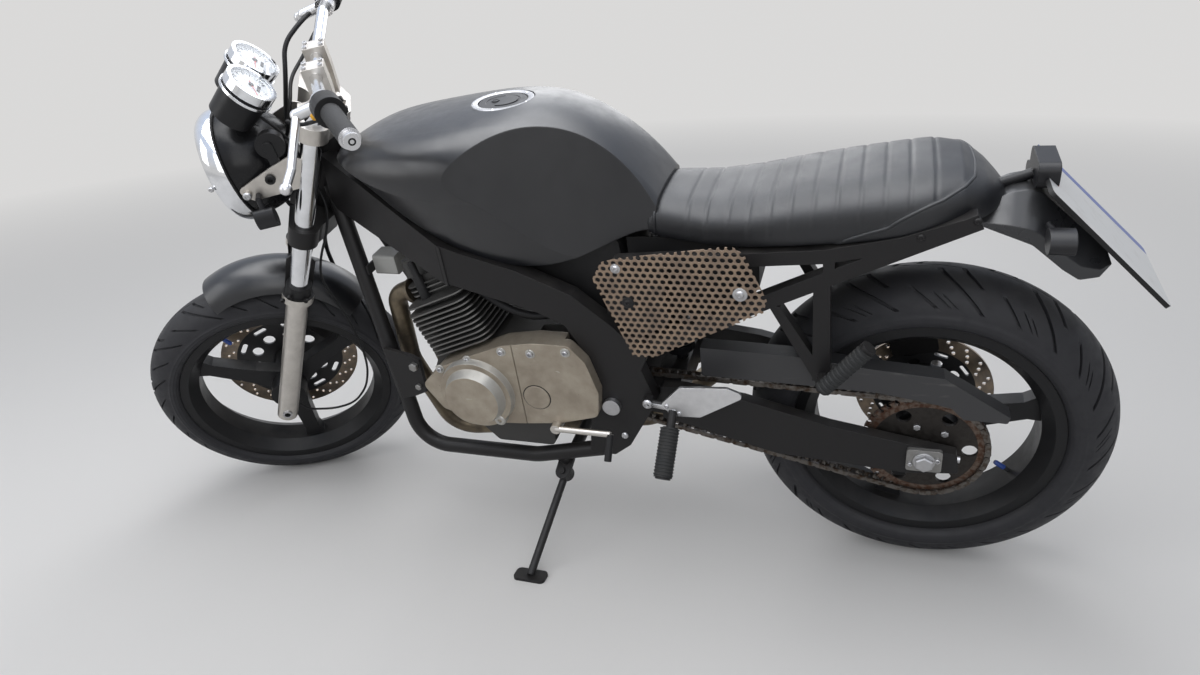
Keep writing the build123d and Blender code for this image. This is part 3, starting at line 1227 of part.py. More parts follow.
# Perforated side panels under the seat, each on two pegs from the frame and subframe
PANEL_Y = 165
PANEL_T = 2
with BuildPart() as side_panels:
    for mirror_y in (-1, 1):
        with BuildSketch(side(mirror_y * PANEL_Y + PANEL_T / 2)):
            with BuildLine():
                Polyline((546, 672), (528, 704), (500, 712), (332, 736), (310, 738), (292, 726), (258, 644),
                         (264, 622), (452, 522), (490, 520), close=True)
            make_face()
            fillet(vertices(), 10)
        extrude(amount=PANEL_T)
        rod((505, mirror_y * PANEL_Y, 680), (505, mirror_y * HANGER_Y, 680), 6)
        rod((290, mirror_y * PANEL_Y, 640), (290, mirror_y * (HANGER_Y - 4), 622), 6)
    add(subframe.part, mode=Mode.SUBTRACT)

# Tail: undertray, plate, lamp and indicators
TRAY_HALF = 70
TRAY_T = 4
with BuildPart() as tail_fender:
    with BuildSketch(side(TRAY_HALF)):
        with BuildLine():
            Polyline((-44, 746), (-44, 736), (-122, 704), (-168, 664), (-192, 648), (-218, 654), (-230, 676),
                     (-222, 686), (-192, 664), (-168, 676), (-120, 716), close=True)
        make_face()
    extrude(amount=2 * TRAY_HALF)
    for outer in (TRAY_HALF, -TRAY_HALF + TRAY_T):
        with BuildSketch(side(outer)):
            with BuildLine():
                Polyline((-44, 766), (-44, 736), (-122, 704), (-168, 664), (-192, 648), (-218, 654),
                         (-230, 676), (-124, 786), (-92, 800), close=True)
            make_face()
        extrude(amount=TRAY_T)
    add(subframe.part, mode=Mode.SUBTRACT)
    add(seat.part, mode=Mode.SUBTRACT)

PLATE_L = 254
PLATE_W = 190
PLATE_BOARD_T = 7
PLATE_AT = Vector(-218, 0, 706)
with BuildPart() as number_plate:
    with BuildSketch(Plane(origin=PLATE_AT, x_dir=(0, 1, 0), z_dir=(-1, 0, 1))):
        RectangleRounded(PLATE_W, PLATE_L, 8)
    extrude(amount=PLATE_BOARD_T)
    add(tail_fender.part, mode=Mode.SUBTRACT)

with BuildPart() as rear_lights:
    with BuildSketch(Plane(origin=(-118, 0, 800), x_dir=(0, 1, 0), z_dir=(-1, 0, 0))):
        RectangleRounded(90, 40, 14)
    extrude(amount=30)
    for mirror_y in (-1, 1):
        rod((-140, mirror_y * TRAY_HALF, 738), (-146, mirror_y * 112, 740), 6)
        with BuildSketch(Plane(origin=(-130, mirror_y * 128, 740), x_dir=(0, 1, 0), z_dir=(-1, 0, 0))):
            Ellipse(24, 18)
        extrude(amount=34)
    rod((-118, 0, 790), (-70, 0, 772), 8)
    add(tail_fender.part, mode=Mode.SUBTRACT)
    add(number_plate.part, mode=Mode.SUBTRACT)
    add(seat.part, mode=Mode.SUBTRACT)

# Everything is stood on the road, labelled and written out
# columns: name, piece, turns with the steering
PIECES = (
    ("front_tyre", front_tyre, True),
    ("front_rim", front_rim, True),
    ("front_disc", front_disc, True),
    ("rear_tyre", rear_tyre, False),
    ("rear_rim", rear_rim, False),
    ("rear_disc", rear_disc, False),
    ("rear_sprocket", rear_sprocket, False),
    ("fork_stanchions", fork_stanchions, True),
    ("fork_sliders", fork_sliders, True),
    ("front_axle", front_axle, True),
    ("fork_yokes", fork_yokes, True),
    ("fork_brace", fork_brace, True),
    ("front_mudguard", front_mudguard, True),
    ("front_caliper", front_caliper, True),
    ("headlight_bowl", headlight_bowl, True),
    ("headlight_rim", headlight_rim, True),
    ("headlight_lens", headlight_lens, True),
    ("headlight_brackets", headlight_brackets, True),
    ("gauges", gauges, True),
    ("handlebar", handlebar, True),
    ("grips", grips, True),
    ("hand_controls", hand_controls, True),
    ("front_indicators", front_indicators, True),
    ("horn", horn, True),
    ("brake_hose", brake_hose, True),
    ("speedo_cable", speedo_cable, True),
    ("control_cables", control_cables, True),
    ("frame_spars", frame_spars, False),
    ("frame_cradle", frame_cradle, False),
    ("side_stand", side_stand, False),
    ("engine_case", engine_case, False),
    ("cylinder_block", cylinder_block, False),
    ("cylinder_head", cylinder_head, False),
    ("left_cover", left_cover, False),
    ("right_cover", right_cover, False),
    ("intake", intake, False),
    ("breather_hose", breather_hose, False),
    ("ignition_coil", ignition_coil, False),
    ("exhaust_pipes", exhaust_pipes, False),
    ("silencer", silencer, False),
    ("swingarm", swingarm, False),
    ("swingarm_pivot", swingarm_pivot, False),
    ("rear_shock", rear_shock, False),
    ("rear_axle", rear_axle, False),
    ("rear_caliper", rear_caliper, False),
    ("chain", chain, False),
    ("front_sprocket", front_sprocket, False),
    ("chain_guard", chain_guard, False),
    ("subframe", subframe, False),
    ("battery_box", battery_box, False),
    ("footrests", footrests, False),
    ("foot_levers", foot_levers, False),
    ("fuel_tank", fuel_tank, False),
    ("filler_cap", filler_cap, False),
    ("seat", seat, False),
    ("side_panels", side_panels, False),
    ("tail_fender", tail_fender, False),
    ("number_plate", number_plate, False),
    ("rear_lights", rear_lights, False),
)
boxes = []
for name, piece, steered in PIECES:
    if steered:
        piece.part = piece.part.rotate(Axis(STEER_FOOT, STEER_DIR), STEER_STOP)
    piece.part = piece.part.rotate(Axis.X, -LEAN).translate((0, 0, LIFT)).rotate(Axis.Y, NOSE_DIP)
    boxes.append(piece.part.bounding_box())
low = Vector(min(box.min.X for box in boxes), min(box.min.Y for box in boxes), min(box.min.Z for box in boxes))
high = Vector(max(box.max.X for box in boxes), max(box.max.Y for box in boxes), 0)
middle = Vector((low.X + high.X) / 2, (low.Y + high.Y) / 2, low.Z)
for name, piece, steered in PIECES:
    piece.part = piece.part.translate(-middle)
    piece.part.label = name
    export_step(piece.part, f"parts/{name}.step")
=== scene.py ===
import json
from math import cos, pi, radians, sin

import bmesh
import bpy
import numpy as np
from mathutils import Euler, Matrix, Vector


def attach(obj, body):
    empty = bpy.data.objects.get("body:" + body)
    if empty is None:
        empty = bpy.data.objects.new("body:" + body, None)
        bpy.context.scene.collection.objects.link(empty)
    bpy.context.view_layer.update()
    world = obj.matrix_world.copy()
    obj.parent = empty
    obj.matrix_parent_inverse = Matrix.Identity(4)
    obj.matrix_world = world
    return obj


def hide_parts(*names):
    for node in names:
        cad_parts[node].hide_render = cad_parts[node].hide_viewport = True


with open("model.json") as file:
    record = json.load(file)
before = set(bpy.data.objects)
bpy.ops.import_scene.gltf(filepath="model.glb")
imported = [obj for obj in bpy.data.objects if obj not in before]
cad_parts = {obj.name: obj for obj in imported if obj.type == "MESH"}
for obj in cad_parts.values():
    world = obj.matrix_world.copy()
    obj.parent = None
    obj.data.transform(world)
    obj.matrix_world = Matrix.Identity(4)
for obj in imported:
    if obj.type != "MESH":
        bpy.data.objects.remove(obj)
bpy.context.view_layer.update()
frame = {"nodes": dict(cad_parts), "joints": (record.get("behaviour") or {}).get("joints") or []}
nodes = frame["nodes"]

# The parked motorcycle: it leans to its left on the side stand, with the steering against its left stop.
# Its own upright axes are worked out from the joints: the rear axle gives the way to the left, and the
# steering axis, which is raked back by a known angle, gives forward and up.
RAKE = radians(25)
REAR_TYRE_R = 0.3135
WHEELBASE = 1.405
joints = {joint["name"]: joint for joint in frame["joints"]}
rear_axle = np.array(joints["rear_wheel_spin"]["pos_m"])
front_axle = np.array(joints["front_wheel_spin"]["pos_m"])
steering_at = np.array(joints["steering_turn"]["pos_m"])
left = np.array(joints["rear_wheel_spin"]["axis"])
steering_up = np.array(joints["steering_turn"]["axis"])
square_on = np.cross(left, steering_up)
forward = cos(RAKE) * square_on - sin(RAKE) * steering_up
upward = sin(RAKE) * square_on + cos(RAKE) * steering_up
bike_axes = np.array([forward, left, upward])
wheel_left = np.array(joints["front_wheel_spin"]["axis"])
wheel_fore = np.cross(wheel_left, steering_up)
fork_axes = np.array([square_on, left, steering_up])
turned_axes = np.array([wheel_fore, wheel_left, steering_up])


def on_bike(points):
    """Upright bike to parked bike: each point is carried along the leaning bike's own three axes."""
    return (np.asarray(points) - (0, 0, REAR_TYRE_R)) @ bike_axes + rear_axle


def on_fork(points):
    """The same for a point of the front assembly drawn straight ahead, which then turns with the
    steering."""
    away = on_bike(points) - steering_at
    return away @ fork_axes.T @ turned_axes + steering_at


# The camera stands at the rider's left, a little above the tank, and looks down at the engine. Its place
# is taken from the rear axle, and its view from a fit of the wheels and of the paving's lines.
CAMERA_FROM_AXLE = (0.0976, 1.4741, 0.7635)
CAMERA_AZIMUTH = 160.43
CAMERA_DOWN = 22.51
CAMERA_ROLL = -3.97
CAMERA_LENS = 25.07
camera = bpy.data.objects.new("camera", bpy.data.cameras.new("camera"))
bpy.context.scene.collection.objects.link(camera)
camera.data.lens = CAMERA_LENS
camera.data.sensor_width = 36
camera.data.clip_start = 0.05
camera.location = rear_axle + CAMERA_FROM_AXLE
look = Euler((radians(90 - CAMERA_DOWN), 0, -radians(CAMERA_AZIMUTH))).to_matrix()
camera.rotation_euler = (look @ Matrix.Rotation(radians(CAMERA_ROLL), 3, "Z")).to_euler()
bpy.context.scene.camera = camera

# The light of a bright overcast day: a pale sky all round, four large soft lamps, and a fifth overhead
# that only shows as a sheen. The view, the glossy parts and the glass show a pale backdrop, which is
# brighter overhead.
SKY = (0.80, 0.83, 0.88)
SKY_STRENGTH = 0.50
HORIZON = (0.70, 0.695, 0.69)
ZENITH = (0.74, 0.82, 0.98)
bpy.context.scene.view_settings.view_transform = "Standard"
world = bpy.data.worlds.new("sky")
bpy.context.scene.world = world
world.use_nodes = True


class Wire:
    """One socket of a shader. Sums written with it become Math nodes of the same shader."""

    def __init__(self, shading, socket):
        self.shading = shading
        self.socket = socket

    def maths(self, operation, first, second):
        return self.shading.node("ShaderNodeMath", {"operation": operation}, {0: first, 1: second})

    def __add__(self, other):
        return self.maths("ADD", self, other)

    def __radd__(self, other):
        return self.maths("ADD", other, self)

    def __sub__(self, other):
        return self.maths("SUBTRACT", self, other)

    def __rsub__(self, other):
        return self.maths("SUBTRACT", other, self)

    def __mul__(self, other):
        return self.maths("MULTIPLY", self, other)

    def __rmul__(self, other):
        return self.maths("MULTIPLY", other, self)

    def __gt__(self, other):
        return self.maths("GREATER_THAN", self, other)

    def __lt__(self, other):
        return self.maths("LESS_THAN", self, other)


class Shading:
    """The nodes of the sky or of one material."""

    def __init__(self, tree):
        self.tree = tree

    def plug(self, node, sockets):
        for socket, value in sockets.items():
            if isinstance(value, Wire):
                self.tree.links.new(value.socket, node.inputs[socket])
            else:
                node.inputs[socket].default_value = value

    def node(self, kind, settings, sockets, out=0):
        """Any node: its settings first, then the values or wires of its sockets. Gives one of its
        outputs."""
        made = self.tree.nodes.new(kind)
        for word, value in settings.items():
            setattr(made, word, value)
        self.plug(made, sockets)
        return Wire(self, made.outputs[out])

    def between(self, value, low, high, start=0.0, end=1.0):
        """The value carried from low..high to start..end, held at both ends."""
        sockets = {"Value": value, "From Min": low, "From Max": high, "To Min": start, "To Max": end}
        return self.node("ShaderNodeMapRange", {"clamp": True}, sockets)

    def blend(self, mask, colour, other):
        """One colour where the mask is 0, turning to the other where it is 1."""
        one = colour if isinstance(colour, Wire) else (*colour, 1)
        two = other if isinstance(other, Wire) else (*other, 1)
        return self.node("ShaderNodeMix", {"data_type": "RGBA"}, {0: mask, 6: one, 7: two}, 2)

    def seen(self):
        """1 for the rays of the view, of reflections and through glass, 0 for the rays that light
        things."""
        path = self.node("ShaderNodeLightPath", {}, {}, "Is Camera Ray")
        glossy = Wire(self, path.socket.node.outputs["Is Glossy Ray"])
        through = Wire(self, path.socket.node.outputs["Is Transmission Ray"])
        return path.maths("MAXIMUM", path, path.maths("MAXIMUM", glossy, through))


sky = Shading(world.node_tree)
way = sky.node("ShaderNodeTexCoord", {}, {}, "Generated")
overhead = sky.between(sky.node("ShaderNodeSeparateXYZ", {}, {"Vector": way}, "Z"), 0.05, 0.7)
light = sky.node("ShaderNodeBackground", {}, {"Color": (*SKY, 1), "Strength": SKY_STRENGTH})
overhead_colour = sky.blend(overhead, HORIZON, ZENITH)
backdrop = sky.node("ShaderNodeBackground", {}, {"Color": overhead_colour, "Strength": 1.0})
sky.plug(world.node_tree.nodes["World Output"],
         {"Surface": sky.node("ShaderNodeMixShader", {}, {0: sky.seen(), 1: light, 2: backdrop})})
# columns: name, place, size, watts, lights what is matt
LAMPS = (
    ("sky_panel", (0.2, 0.5, 3.2), 2.6, 34, True),
    ("front_panel", (2.6, 2.2, 1.8), 1.8, 22, True),
    ("side_panel", (-1.2, 3.0, 1.9), 2.2, 24, True),
    ("far_panel", (0.4, -3.0, 2.2), 2.0, 24, True),
    ("sheen_panel", (0.1, 0.2, 3.6), 4.2, 190, False),
)
for name, place, size, watts, matt in LAMPS:
    lamp = bpy.data.objects.new(name, bpy.data.lights.new(name, "AREA"))
    lamp.data.size = size
    lamp.data.energy = watts
    lamp.location = place
    lamp.visible_diffuse = matt
    lamp.rotation_euler = (Vector((0, 0, 0.5)) - lamp.location).to_track_quat("-Z", "Y").to_euler()
    bpy.context.scene.collection.objects.link(lamp)


class Finish(Shading):
    """A material of one Principled shader, with the nodes that feed it."""

    def __init__(self, name, colour, roughness, **others):
        self.material = bpy.data.materials.new(name)
        self.material.use_nodes = True
        super().__init__(self.material.node_tree)
        self.shader = self.tree.nodes["Principled BSDF"]
        self.feed({"Base Color": (*colour, 1), "Roughness": roughness})
        for word, value in others.items():
            self.feed({word.replace("_", " ").title().replace("Ior", "IOR"): value})

    def feed(self, sockets):
        self.plug(self.shader, sockets)

    def place(self, stretch=(1, 1, 1)):
        """The point on the piece, in metres, with each of its axes stretched."""
        here = self.node("ShaderNodeTexCoord", {}, {}, "Object")
        return self.node("ShaderNodeMapping", {}, {"Vector": here, "Scale": stretch})

    def noise(self, size, detail=3.0, stretch=(1, 1, 1)):
        """Cloudy values from 0 to 1, whose spots measure about size metres."""
        return self.node("ShaderNodeTexNoise", {}, {"Vector": self.place(stretch), "Scale": 1 / size,
                                                    "Detail": detail, "Roughness": 0.55}, "Fac")

    def clouds(self, size, detail, low, high, start=0.0, end=1.0):
        """Soft patches: noise whose values from low to high are carried to start..end."""
        return self.between(self.noise(size, detail), low, high, start, end)

    def vectors(self, operation, one, other, out=0):
        """Vector maths on wires or on fixed vectors."""
        values = [value if isinstance(value, Wire) else tuple(value) for value in (one, other)]
        return self.node("ShaderNodeVectorMath", {"operation": operation}, dict(enumerate(values)), out)

    def off_axis(self, centre, axis):
        """How far the point lies from a line, in metres: the length of the cross product of the way from
        the line's centre with the line's direction."""
        crossed = self.vectors("CROSS_PRODUCT", self.vectors("SUBTRACT", self.place(), centre), axis)
        return self.vectors("LENGTH", crossed, (0, 0, 0), "Value")

    def along(self, centre, axis):
        """How far the point lies along a direction from a centre, in metres."""
        return self.vectors("DOT_PRODUCT", self.vectors("SUBTRACT", self.place(), centre), axis, "Value")

    def facing_up(self):
        """How far the surface faces the sky, from -1 to 1."""
        normal = self.node("ShaderNodeNewGeometry", {}, {}, "Normal")
        return self.node("ShaderNodeSeparateXYZ", {}, {"Vector": normal}, "Z")

    def bump(self, height, depth, round_edge=0.0):
        """A relief of the given depth in metres, on edges rounded by a small radius."""
        sockets = {"Height": height, "Strength": 1.0, "Distance": depth}
        if round_edge:
            sockets["Normal"] = self.node("ShaderNodeBevel", {"samples": 4}, {"Radius": round_edge})
        self.feed({"Normal": self.node("ShaderNodeBump", {}, sockets)})


# The floor is plain and pale, and keeps the shadow. Far out it turns to the backdrop's own colour, so
# that no line shows where it ends.
FLOOR_HALF = 30
FLOOR_COLOUR = (0.77, 0.76, 0.75)
NEAR, FAR = 2.0, 6.0
floor_mesh = bpy.data.meshes.new("floor")
floor_corners = [(x * FLOOR_HALF, y * FLOOR_HALF, 0) for x, y in ((-1, -1), (1, -1), (1, 1), (-1, 1))]
floor_mesh.from_pydata(floor_corners, [], [(0, 1, 2, 3)])
floor = bpy.data.objects.new("floor", floor_mesh)
bpy.context.scene.collection.objects.link(floor)
ground = Finish("floor", FLOOR_COLOUR, 0.95, specular_ior_level=0.1)
away = ground.vectors("LENGTH", ground.place(), (0, 0, 0), "Value")
distant = ground.between(away, NEAR, FAR) * ground.seen()
glow = ground.node("ShaderNodeEmission", {}, {"Color": (*HORIZON, 1)})
lit = Wire(ground, ground.shader.outputs[0])
ground.plug(ground.tree.nodes["Material Output"],
            {"Surface": ground.node("ShaderNodeMixShader", {}, {0: distant, 1: lit, 2: glow})})
floor_mesh.materials.append(ground.material)


def dress(finish, *names):
    """Gives the named CAD nodes one finish."""
    for name in names:
        mesh = nodes[name].data
        mesh.materials.clear()
        mesh.materials.append(finish.material)


def as_drawn(points, steered=False):
    """Parked bike back to upright bike, and for the front assembly back to straight ahead."""
    if steered:
        points = (points - steering_at) @ turned_axes.T @ fork_axes + steering_at
    return (points - rear_axle) @ bike_axes.T + (0, 0, REAR_TYRE_R)


def face_middles(name, steered=False):
    """The middle of each face of a CAD node, on the upright bike in metres."""
    faces = nodes[name].data.polygons
    middles = np.zeros(len(faces) * 3, np.float32)
    faces.foreach_get("center", middles)
    return as_drawn(middles.reshape(-1, 3), steered)


def face_headings(name, steered=False):
    """Which way each face of a CAD node points, on the upright bike."""
    faces = nodes[name].data.polygons
    headings = np.zeros(len(faces) * 3, np.float32)
    faces.foreach_get("normal", headings)
    return as_drawn(headings.reshape(-1, 3) + steering_at, steered) - as_drawn(steering_at[None], steered)


def dress_faces(finish, name, picked):
    """Gives the picked faces of a CAD node another finish."""
    mesh = nodes[name].data
    index = np.zeros(len(mesh.polygons), np.int32)
    mesh.polygons.foreach_get("material_index", index)
    mesh.materials.append(finish.material)
    index[picked] = len(mesh.materials) - 1
    mesh.polygons.foreach_set("material_index", index)


def dusty(finish, colour, dust, amount, size=0.05):
    """Dust settles on what faces up, in cloudy patches. Gives the dust's mask."""
    lies = finish.between(finish.facing_up(), 0.1, 1.0)
    mask = lies * finish.clouds(size, 5.0, 0.35, 0.75) * amount
    finish.feed({"Base Color": finish.blend(mask, colour, dust)})
    return mask


# Frame: a painted steel perimeter frame with its cradle and subframe, the swingarm and the side stand.
# All of it was brushed satin black at home, and dust lies on the upper faces.
def satin_black(name, colour, roughness, grain=0.00006, round_edge=0.0015, dust=0.35):
    """Brushed-on satin black: a fine orange-peel grain, cloudy gloss, and dust on the upper faces."""
    finish = Finish(name, colour, roughness, specular_ior_level=0.24)
    mask = dusty(finish, colour, (0.075, 0.070, 0.064), dust)
    gloss = finish.clouds(0.03, 4.0, 0.3, 0.7, roughness - 0.06, roughness + 0.08)
    finish.feed({"Roughness": gloss + mask * 0.3})
    finish.bump(finish.noise(0.0012, 2.0), grain, round_edge)
    return finish


def bright_metal(name, colour, roughness, smudge=0.06, grain=0.00002, round_edge=0.0008, size=0.02):
    """Bare metal: smudged gloss in soft patches over a very fine grain."""
    finish = Finish(name, colour, roughness, metallic=1.0)
    patch = finish.clouds(size, 4.0, 0.3, 0.7)
    darker = tuple(0.86 * part for part in colour)
    finish.feed({"Base Color": finish.blend(patch, colour, darker), "Roughness": patch * smudge + roughness})
    finish.bump(finish.noise(0.0008, 2.0), grain, round_edge)
    return finish


black_paint = satin_black("black_paint", (0.0145, 0.0137, 0.0142), 0.40)
black_plastic = satin_black("black_plastic", (0.0150, 0.0148, 0.0155), 0.50, 0.00012)
zinc = bright_metal("axle_steel", (0.50, 0.50, 0.51), 0.32, 0.15)
dress(black_paint, "frame_spars", "frame_cradle", "subframe", "swingarm", "side_stand")
dress(zinc, "swingarm_pivot")

# Wheels: both tyres are black rubber with a diagonal tread, pulled over cast three-spoke rims of satin
# black aluminium. The walls carry fine moulded rings, and each rim has a blue cap on its valve.
TYRE_STEP = 0.003
GROOVE_LIP = 0.0008
GROOVE_FADE = 0.05
SHOULDER_OUT = 0.97
SHOULDER_UP = 0.36
WALL_RING = 0.0006
RIM_FLANGE_R = 0.229
BEAD_R = 0.218
BEAD_IN = 0.009
TYRE_WALL = 0.011
COLUMNS_A_REPEAT = 32


def joined_up(grid, wrap_rows=False, wrap_columns=False):
    """A grid of points as (points, faces): each point makes a four-sided face with its neighbours one row
    and one column on, and a wrapped direction joins its last line to its first."""
    rows, columns = grid.shape[:2]
    row = np.arange(rows if wrap_rows else rows - 1)[:, None]
    column = np.arange(columns if wrap_columns else columns - 1)[None, :]
    next_row, next_column = (row + 1) % rows, (column + 1) % columns
    faces = np.stack([row * columns + column, next_row * columns + column,
                      next_row * columns + next_column, row * columns + next_column], -1)
    return grid.reshape(-1, 3), faces.reshape(-1, 4)


def make_piece(name, body, finish, slot, *sheets, smooth=True, edges=35):
    """One mesh of all the sheets of points and faces. They are drawn on the upright bike, or for the
    front assembly with the steering straight ahead, and are carried to the parked bike. Doubled points
    are merged and the faces turned out. On a smooth piece the edges that bend by more than the given
    angle stay sharp."""
    way = on_fork if body in ("steering", "front_wheel") else on_bike
    starts = np.cumsum([0] + [len(points) for points, _ in sheets])
    points = way(np.concatenate([points for points, _ in sheets]))
    faces = np.concatenate([quads + start for (_, quads), start in zip(sheets, starts)])
    mesh = bpy.data.meshes.new(name)
    mesh.vertices.add(len(points))
    mesh.vertices.foreach_set("co", points.astype(np.float32).ravel())
    mesh.loops.add(faces.size)
    mesh.loops.foreach_set("vertex_index", faces.astype(np.int32).ravel())
    mesh.polygons.add(len(faces))
    mesh.polygons.foreach_set("loop_start", np.arange(0, faces.size, faces.shape[1], dtype=np.int32))
    mesh.update(calc_edges=True)
    form = bmesh.new()
    form.from_mesh(mesh)
    bmesh.ops.remove_doubles(form, verts=form.verts, dist=1e-6)
    bmesh.ops.recalc_face_normals(form, faces=form.faces)
    form.to_mesh(mesh)
    form.free()
    mesh.polygons.foreach_set("use_smooth", np.full(len(mesh.polygons), smooth))
    if smooth:
        mesh.set_sharp_from_angle(angle=radians(edges))
    mesh.materials.append(finish.material)
    made = bpy.data.objects.new(name, mesh)
    bpy.context.scene.collection.objects.link(made)
    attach(made, body)
    return made


def tyre_outline(radius, width, rim_width):
    """Half section of a tyre from its crown to its bead, as width, radius and share of the crown's arc.
    The crown is an arc through the tread's edge, and the wall an arc that leaves the rim's flange
    level."""
    out = SHOULDER_OUT * width / 2
    up = RIM_FLANGE_R + SHOULDER_UP * (radius - RIM_FLANGE_R)
    crown = (out ** 2 + (radius - up) ** 2) / (2 * (radius - up))
    edge = np.arcsin(out / crown)
    turn = np.linspace(0, edge, int(crown * edge / TYRE_STEP))
    tread = np.stack([crown * np.sin(turn), radius - crown + crown * np.cos(turn), turn / edge], -1)
    across, rise = out - rim_width / 2, up - RIM_FLANGE_R
    wall_r = (across ** 2 + rise ** 2) / (2 * rise)
    sweep = np.linspace(np.arctan2(across, wall_r - rise), 0, 16)[1:]
    wall = np.stack([rim_width / 2 + wall_r * np.sin(sweep), RIM_FLANGE_R + wall_r * (1 - np.cos(sweep))], -1)
    wall[1:-3:3, 0] += WALL_RING
    return np.concatenate([tread, np.column_stack([wall, np.full(len(wall), 2.0)])]), edge


def tyre_form(radius, width, rim_width, repeats, sweep, grooves):
    """Points of a tyre about its axle. Columns of points lean with the tread, so that they run along its
    grooves: a point's angle is its column's plus a sweep that grows with the distance from the crown.
    Each groove of the table sinks the columns between its two edges, from a first to a last share of the
    half tread."""
    spacing = radius * 2 * pi / repeats
    edges = np.array([phase + side * half / spacing for phase, first, last, half, deep in grooves
                      for side in (-1 - GROOVE_LIP / half, -1, 1, 1 + GROOVE_LIP / half)])
    even = np.arange(COLUMNS_A_REPEAT) / COLUMNS_A_REPEAT
    phases = np.unique(np.concatenate([even, edges % 1]).round(6))
    columns = (np.arange(repeats)[:, None] + phases[None, :]).ravel() / repeats * 2 * pi
    local = np.tile(phases, repeats)
    half, edge = tyre_outline(radius, width, rim_width)
    y_out, r_out, share = (half[:, k][:, None] for k in range(3))
    tread_share = np.minimum(share, 1)
    swept = sweep * tread_share ** 1.4
    sunk = np.zeros((len(half), len(columns)))
    for phase, first, last, width_half, deep in grooves:
        off = np.abs((local - phase + 0.5) % 1 - 0.5) * spacing
        across = np.clip((width_half + GROOVE_LIP - off) / GROOVE_LIP, 0, 1)
        along = np.clip((share - first) / GROOVE_FADE, 0, 1) * np.clip((last - share) / GROOVE_FADE, 0, 1)
        sunk = np.maximum(sunk, deep * across[None, :] * along)
    lean = tread_share * edge
    r = r_out - sunk * np.cos(lean)
    sides = []
    for hand, shift in ((-1, 0.5 / repeats * 2 * pi), (1, 0.0)):
        turn = columns[None, :] + shift * np.minimum(share * 8, 1) + swept
        y = hand * (y_out - sunk * np.sin(lean))
        sides.append(np.stack([r * np.sin(turn), y, r * np.cos(turn)], -1))
    bead_y = rim_width / 2
    liner_y = bead_y - BEAD_IN
    inner_y = np.concatenate([[bead_y], np.linspace(liner_y, -liner_y, 9), [-bead_y]])[:, None]
    arch = np.sqrt(np.clip(1 - (inner_y / liner_y) ** 2, 0, 1))
    inner_r = BEAD_R + (radius - TYRE_WALL - BEAD_R) * arch
    turn = columns[None, :] + sweep
    inner = np.stack([inner_r * np.sin(turn), inner_y + 0 * turn, inner_r * np.cos(turn)], -1)
    return np.concatenate([sides[0][::-1], sides[1][1:], inner])


def spun(outline, at, axis, sides=28):
    """A turned form: each row of the outline is a distance along the axis from a place, and a radius
    about it."""
    axis = np.asarray(axis, float) / np.linalg.norm(axis)
    across = np.cross(axis, np.eye(3)[np.argmin(np.abs(axis))])
    across /= np.linalg.norm(across)
    turn = np.linspace(0, 2 * pi, sides, endpoint=False)[None, :, None]
    along, radius = (np.asarray(outline, float)[:, column, None, None] for column in (0, 1))
    ring = np.cos(turn) * across + np.sin(turn) * np.cross(axis, across)
    return joined_up(np.asarray(at) + along * axis + radius * ring, wrap_columns=True)


RUBBER = (0.0215, 0.0215, 0.0245)
rubber = Finish("tyre_rubber", RUBBER, 0.62, specular_ior_level=0.3)
worn = rubber.clouds(0.02, 5.0, 0.4, 0.7)
dusty(rubber, RUBBER, (0.07, 0.067, 0.063), 0.5, 0.08)
rubber.feed({"Roughness": 0.55 + worn * 0.2})
rubber.bump(rubber.noise(0.0009, 3.0), 0.00008)

# columns: phase in a repeat, first and last share of the half tread, half width, depth
REAR_GROOVES = (
    (0.00, 0.06, 0.90, 0.0040, 0.0060),
    (0.52, 0.46, 0.88, 0.0033, 0.0050),
    (0.27, 0.62, 0.86, 0.0014, 0.0030),
    (0.35, 0.58, 0.86, 0.0014, 0.0030),
    (0.74, 0.00, 0.44, 0.0036, 0.0055),
)
FRONT_GROOVES = (
    (0.00, 0.05, 0.92, 0.0034, 0.0055),
    (0.50, 0.38, 0.88, 0.0028, 0.0045),
    (0.76, 0.00, 0.38, 0.0030, 0.0050),
)
rear_form = tyre_form(REAR_TYRE_R, width=0.140, rim_width=0.104, repeats=13, sweep=-0.30,
                      grooves=REAR_GROOVES)
rear_tyre = make_piece("rear_tyre_tread", "rear_wheel", rubber, "tyre_rubber",
                       joined_up(rear_form + (0, 0, REAR_TYRE_R), True, True))
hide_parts("rear_tyre")
FRONT_TYRE_R = 0.293
front_form = tyre_form(FRONT_TYRE_R, width=0.110, rim_width=0.084, repeats=14, sweep=-0.34,
                       grooves=FRONT_GROOVES)
front_tyre = make_piece("front_tyre_tread", "front_wheel", rubber, "tyre_rubber",
                        joined_up(front_form + (WHEELBASE, 0, FRONT_TYRE_R), True, True))
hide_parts("front_tyre")

# Rims and brakes: cast rims of satin black whose outer lip is bare grey metal, a painted highlight, and
# drilled discs, browned by heat, on black carriers, each with a black caliper
# width of the band of bare grey metal on each rim's lip, a painted highlight
LIP_HIGHLIGHT_BAND = 0.0028
CARRIER_BLACK = (0.012, 0.012, 0.013)
VALVE_R = 0.210
VALVE_CAP_R = 0.182


def enamel(name, colour, roughness, depth):
    """Plain paint, plastic or ink on a small part, with a fine grain of the given depth."""
    finish = Finish(name, colour, roughness)
    finish.bump(finish.noise(0.001), depth)
    return finish


wheel_paint = satin_black("wheel_paint", (0.0100, 0.0100, 0.0110), 0.38, 0.00010, 0.002, 0.4)
# bare grey metal for the outer band of each rim's lip: a painted highlight
lip_painted_highlight = bright_metal("rim_lip_painted_highlight", (0.26, 0.26, 0.265), 0.36)
valve_cap = enamel("valve_cap", (0.02, 0.06, 0.28), 0.3, 0.0001)
dress(black_paint, "front_caliper", "rear_caliper")
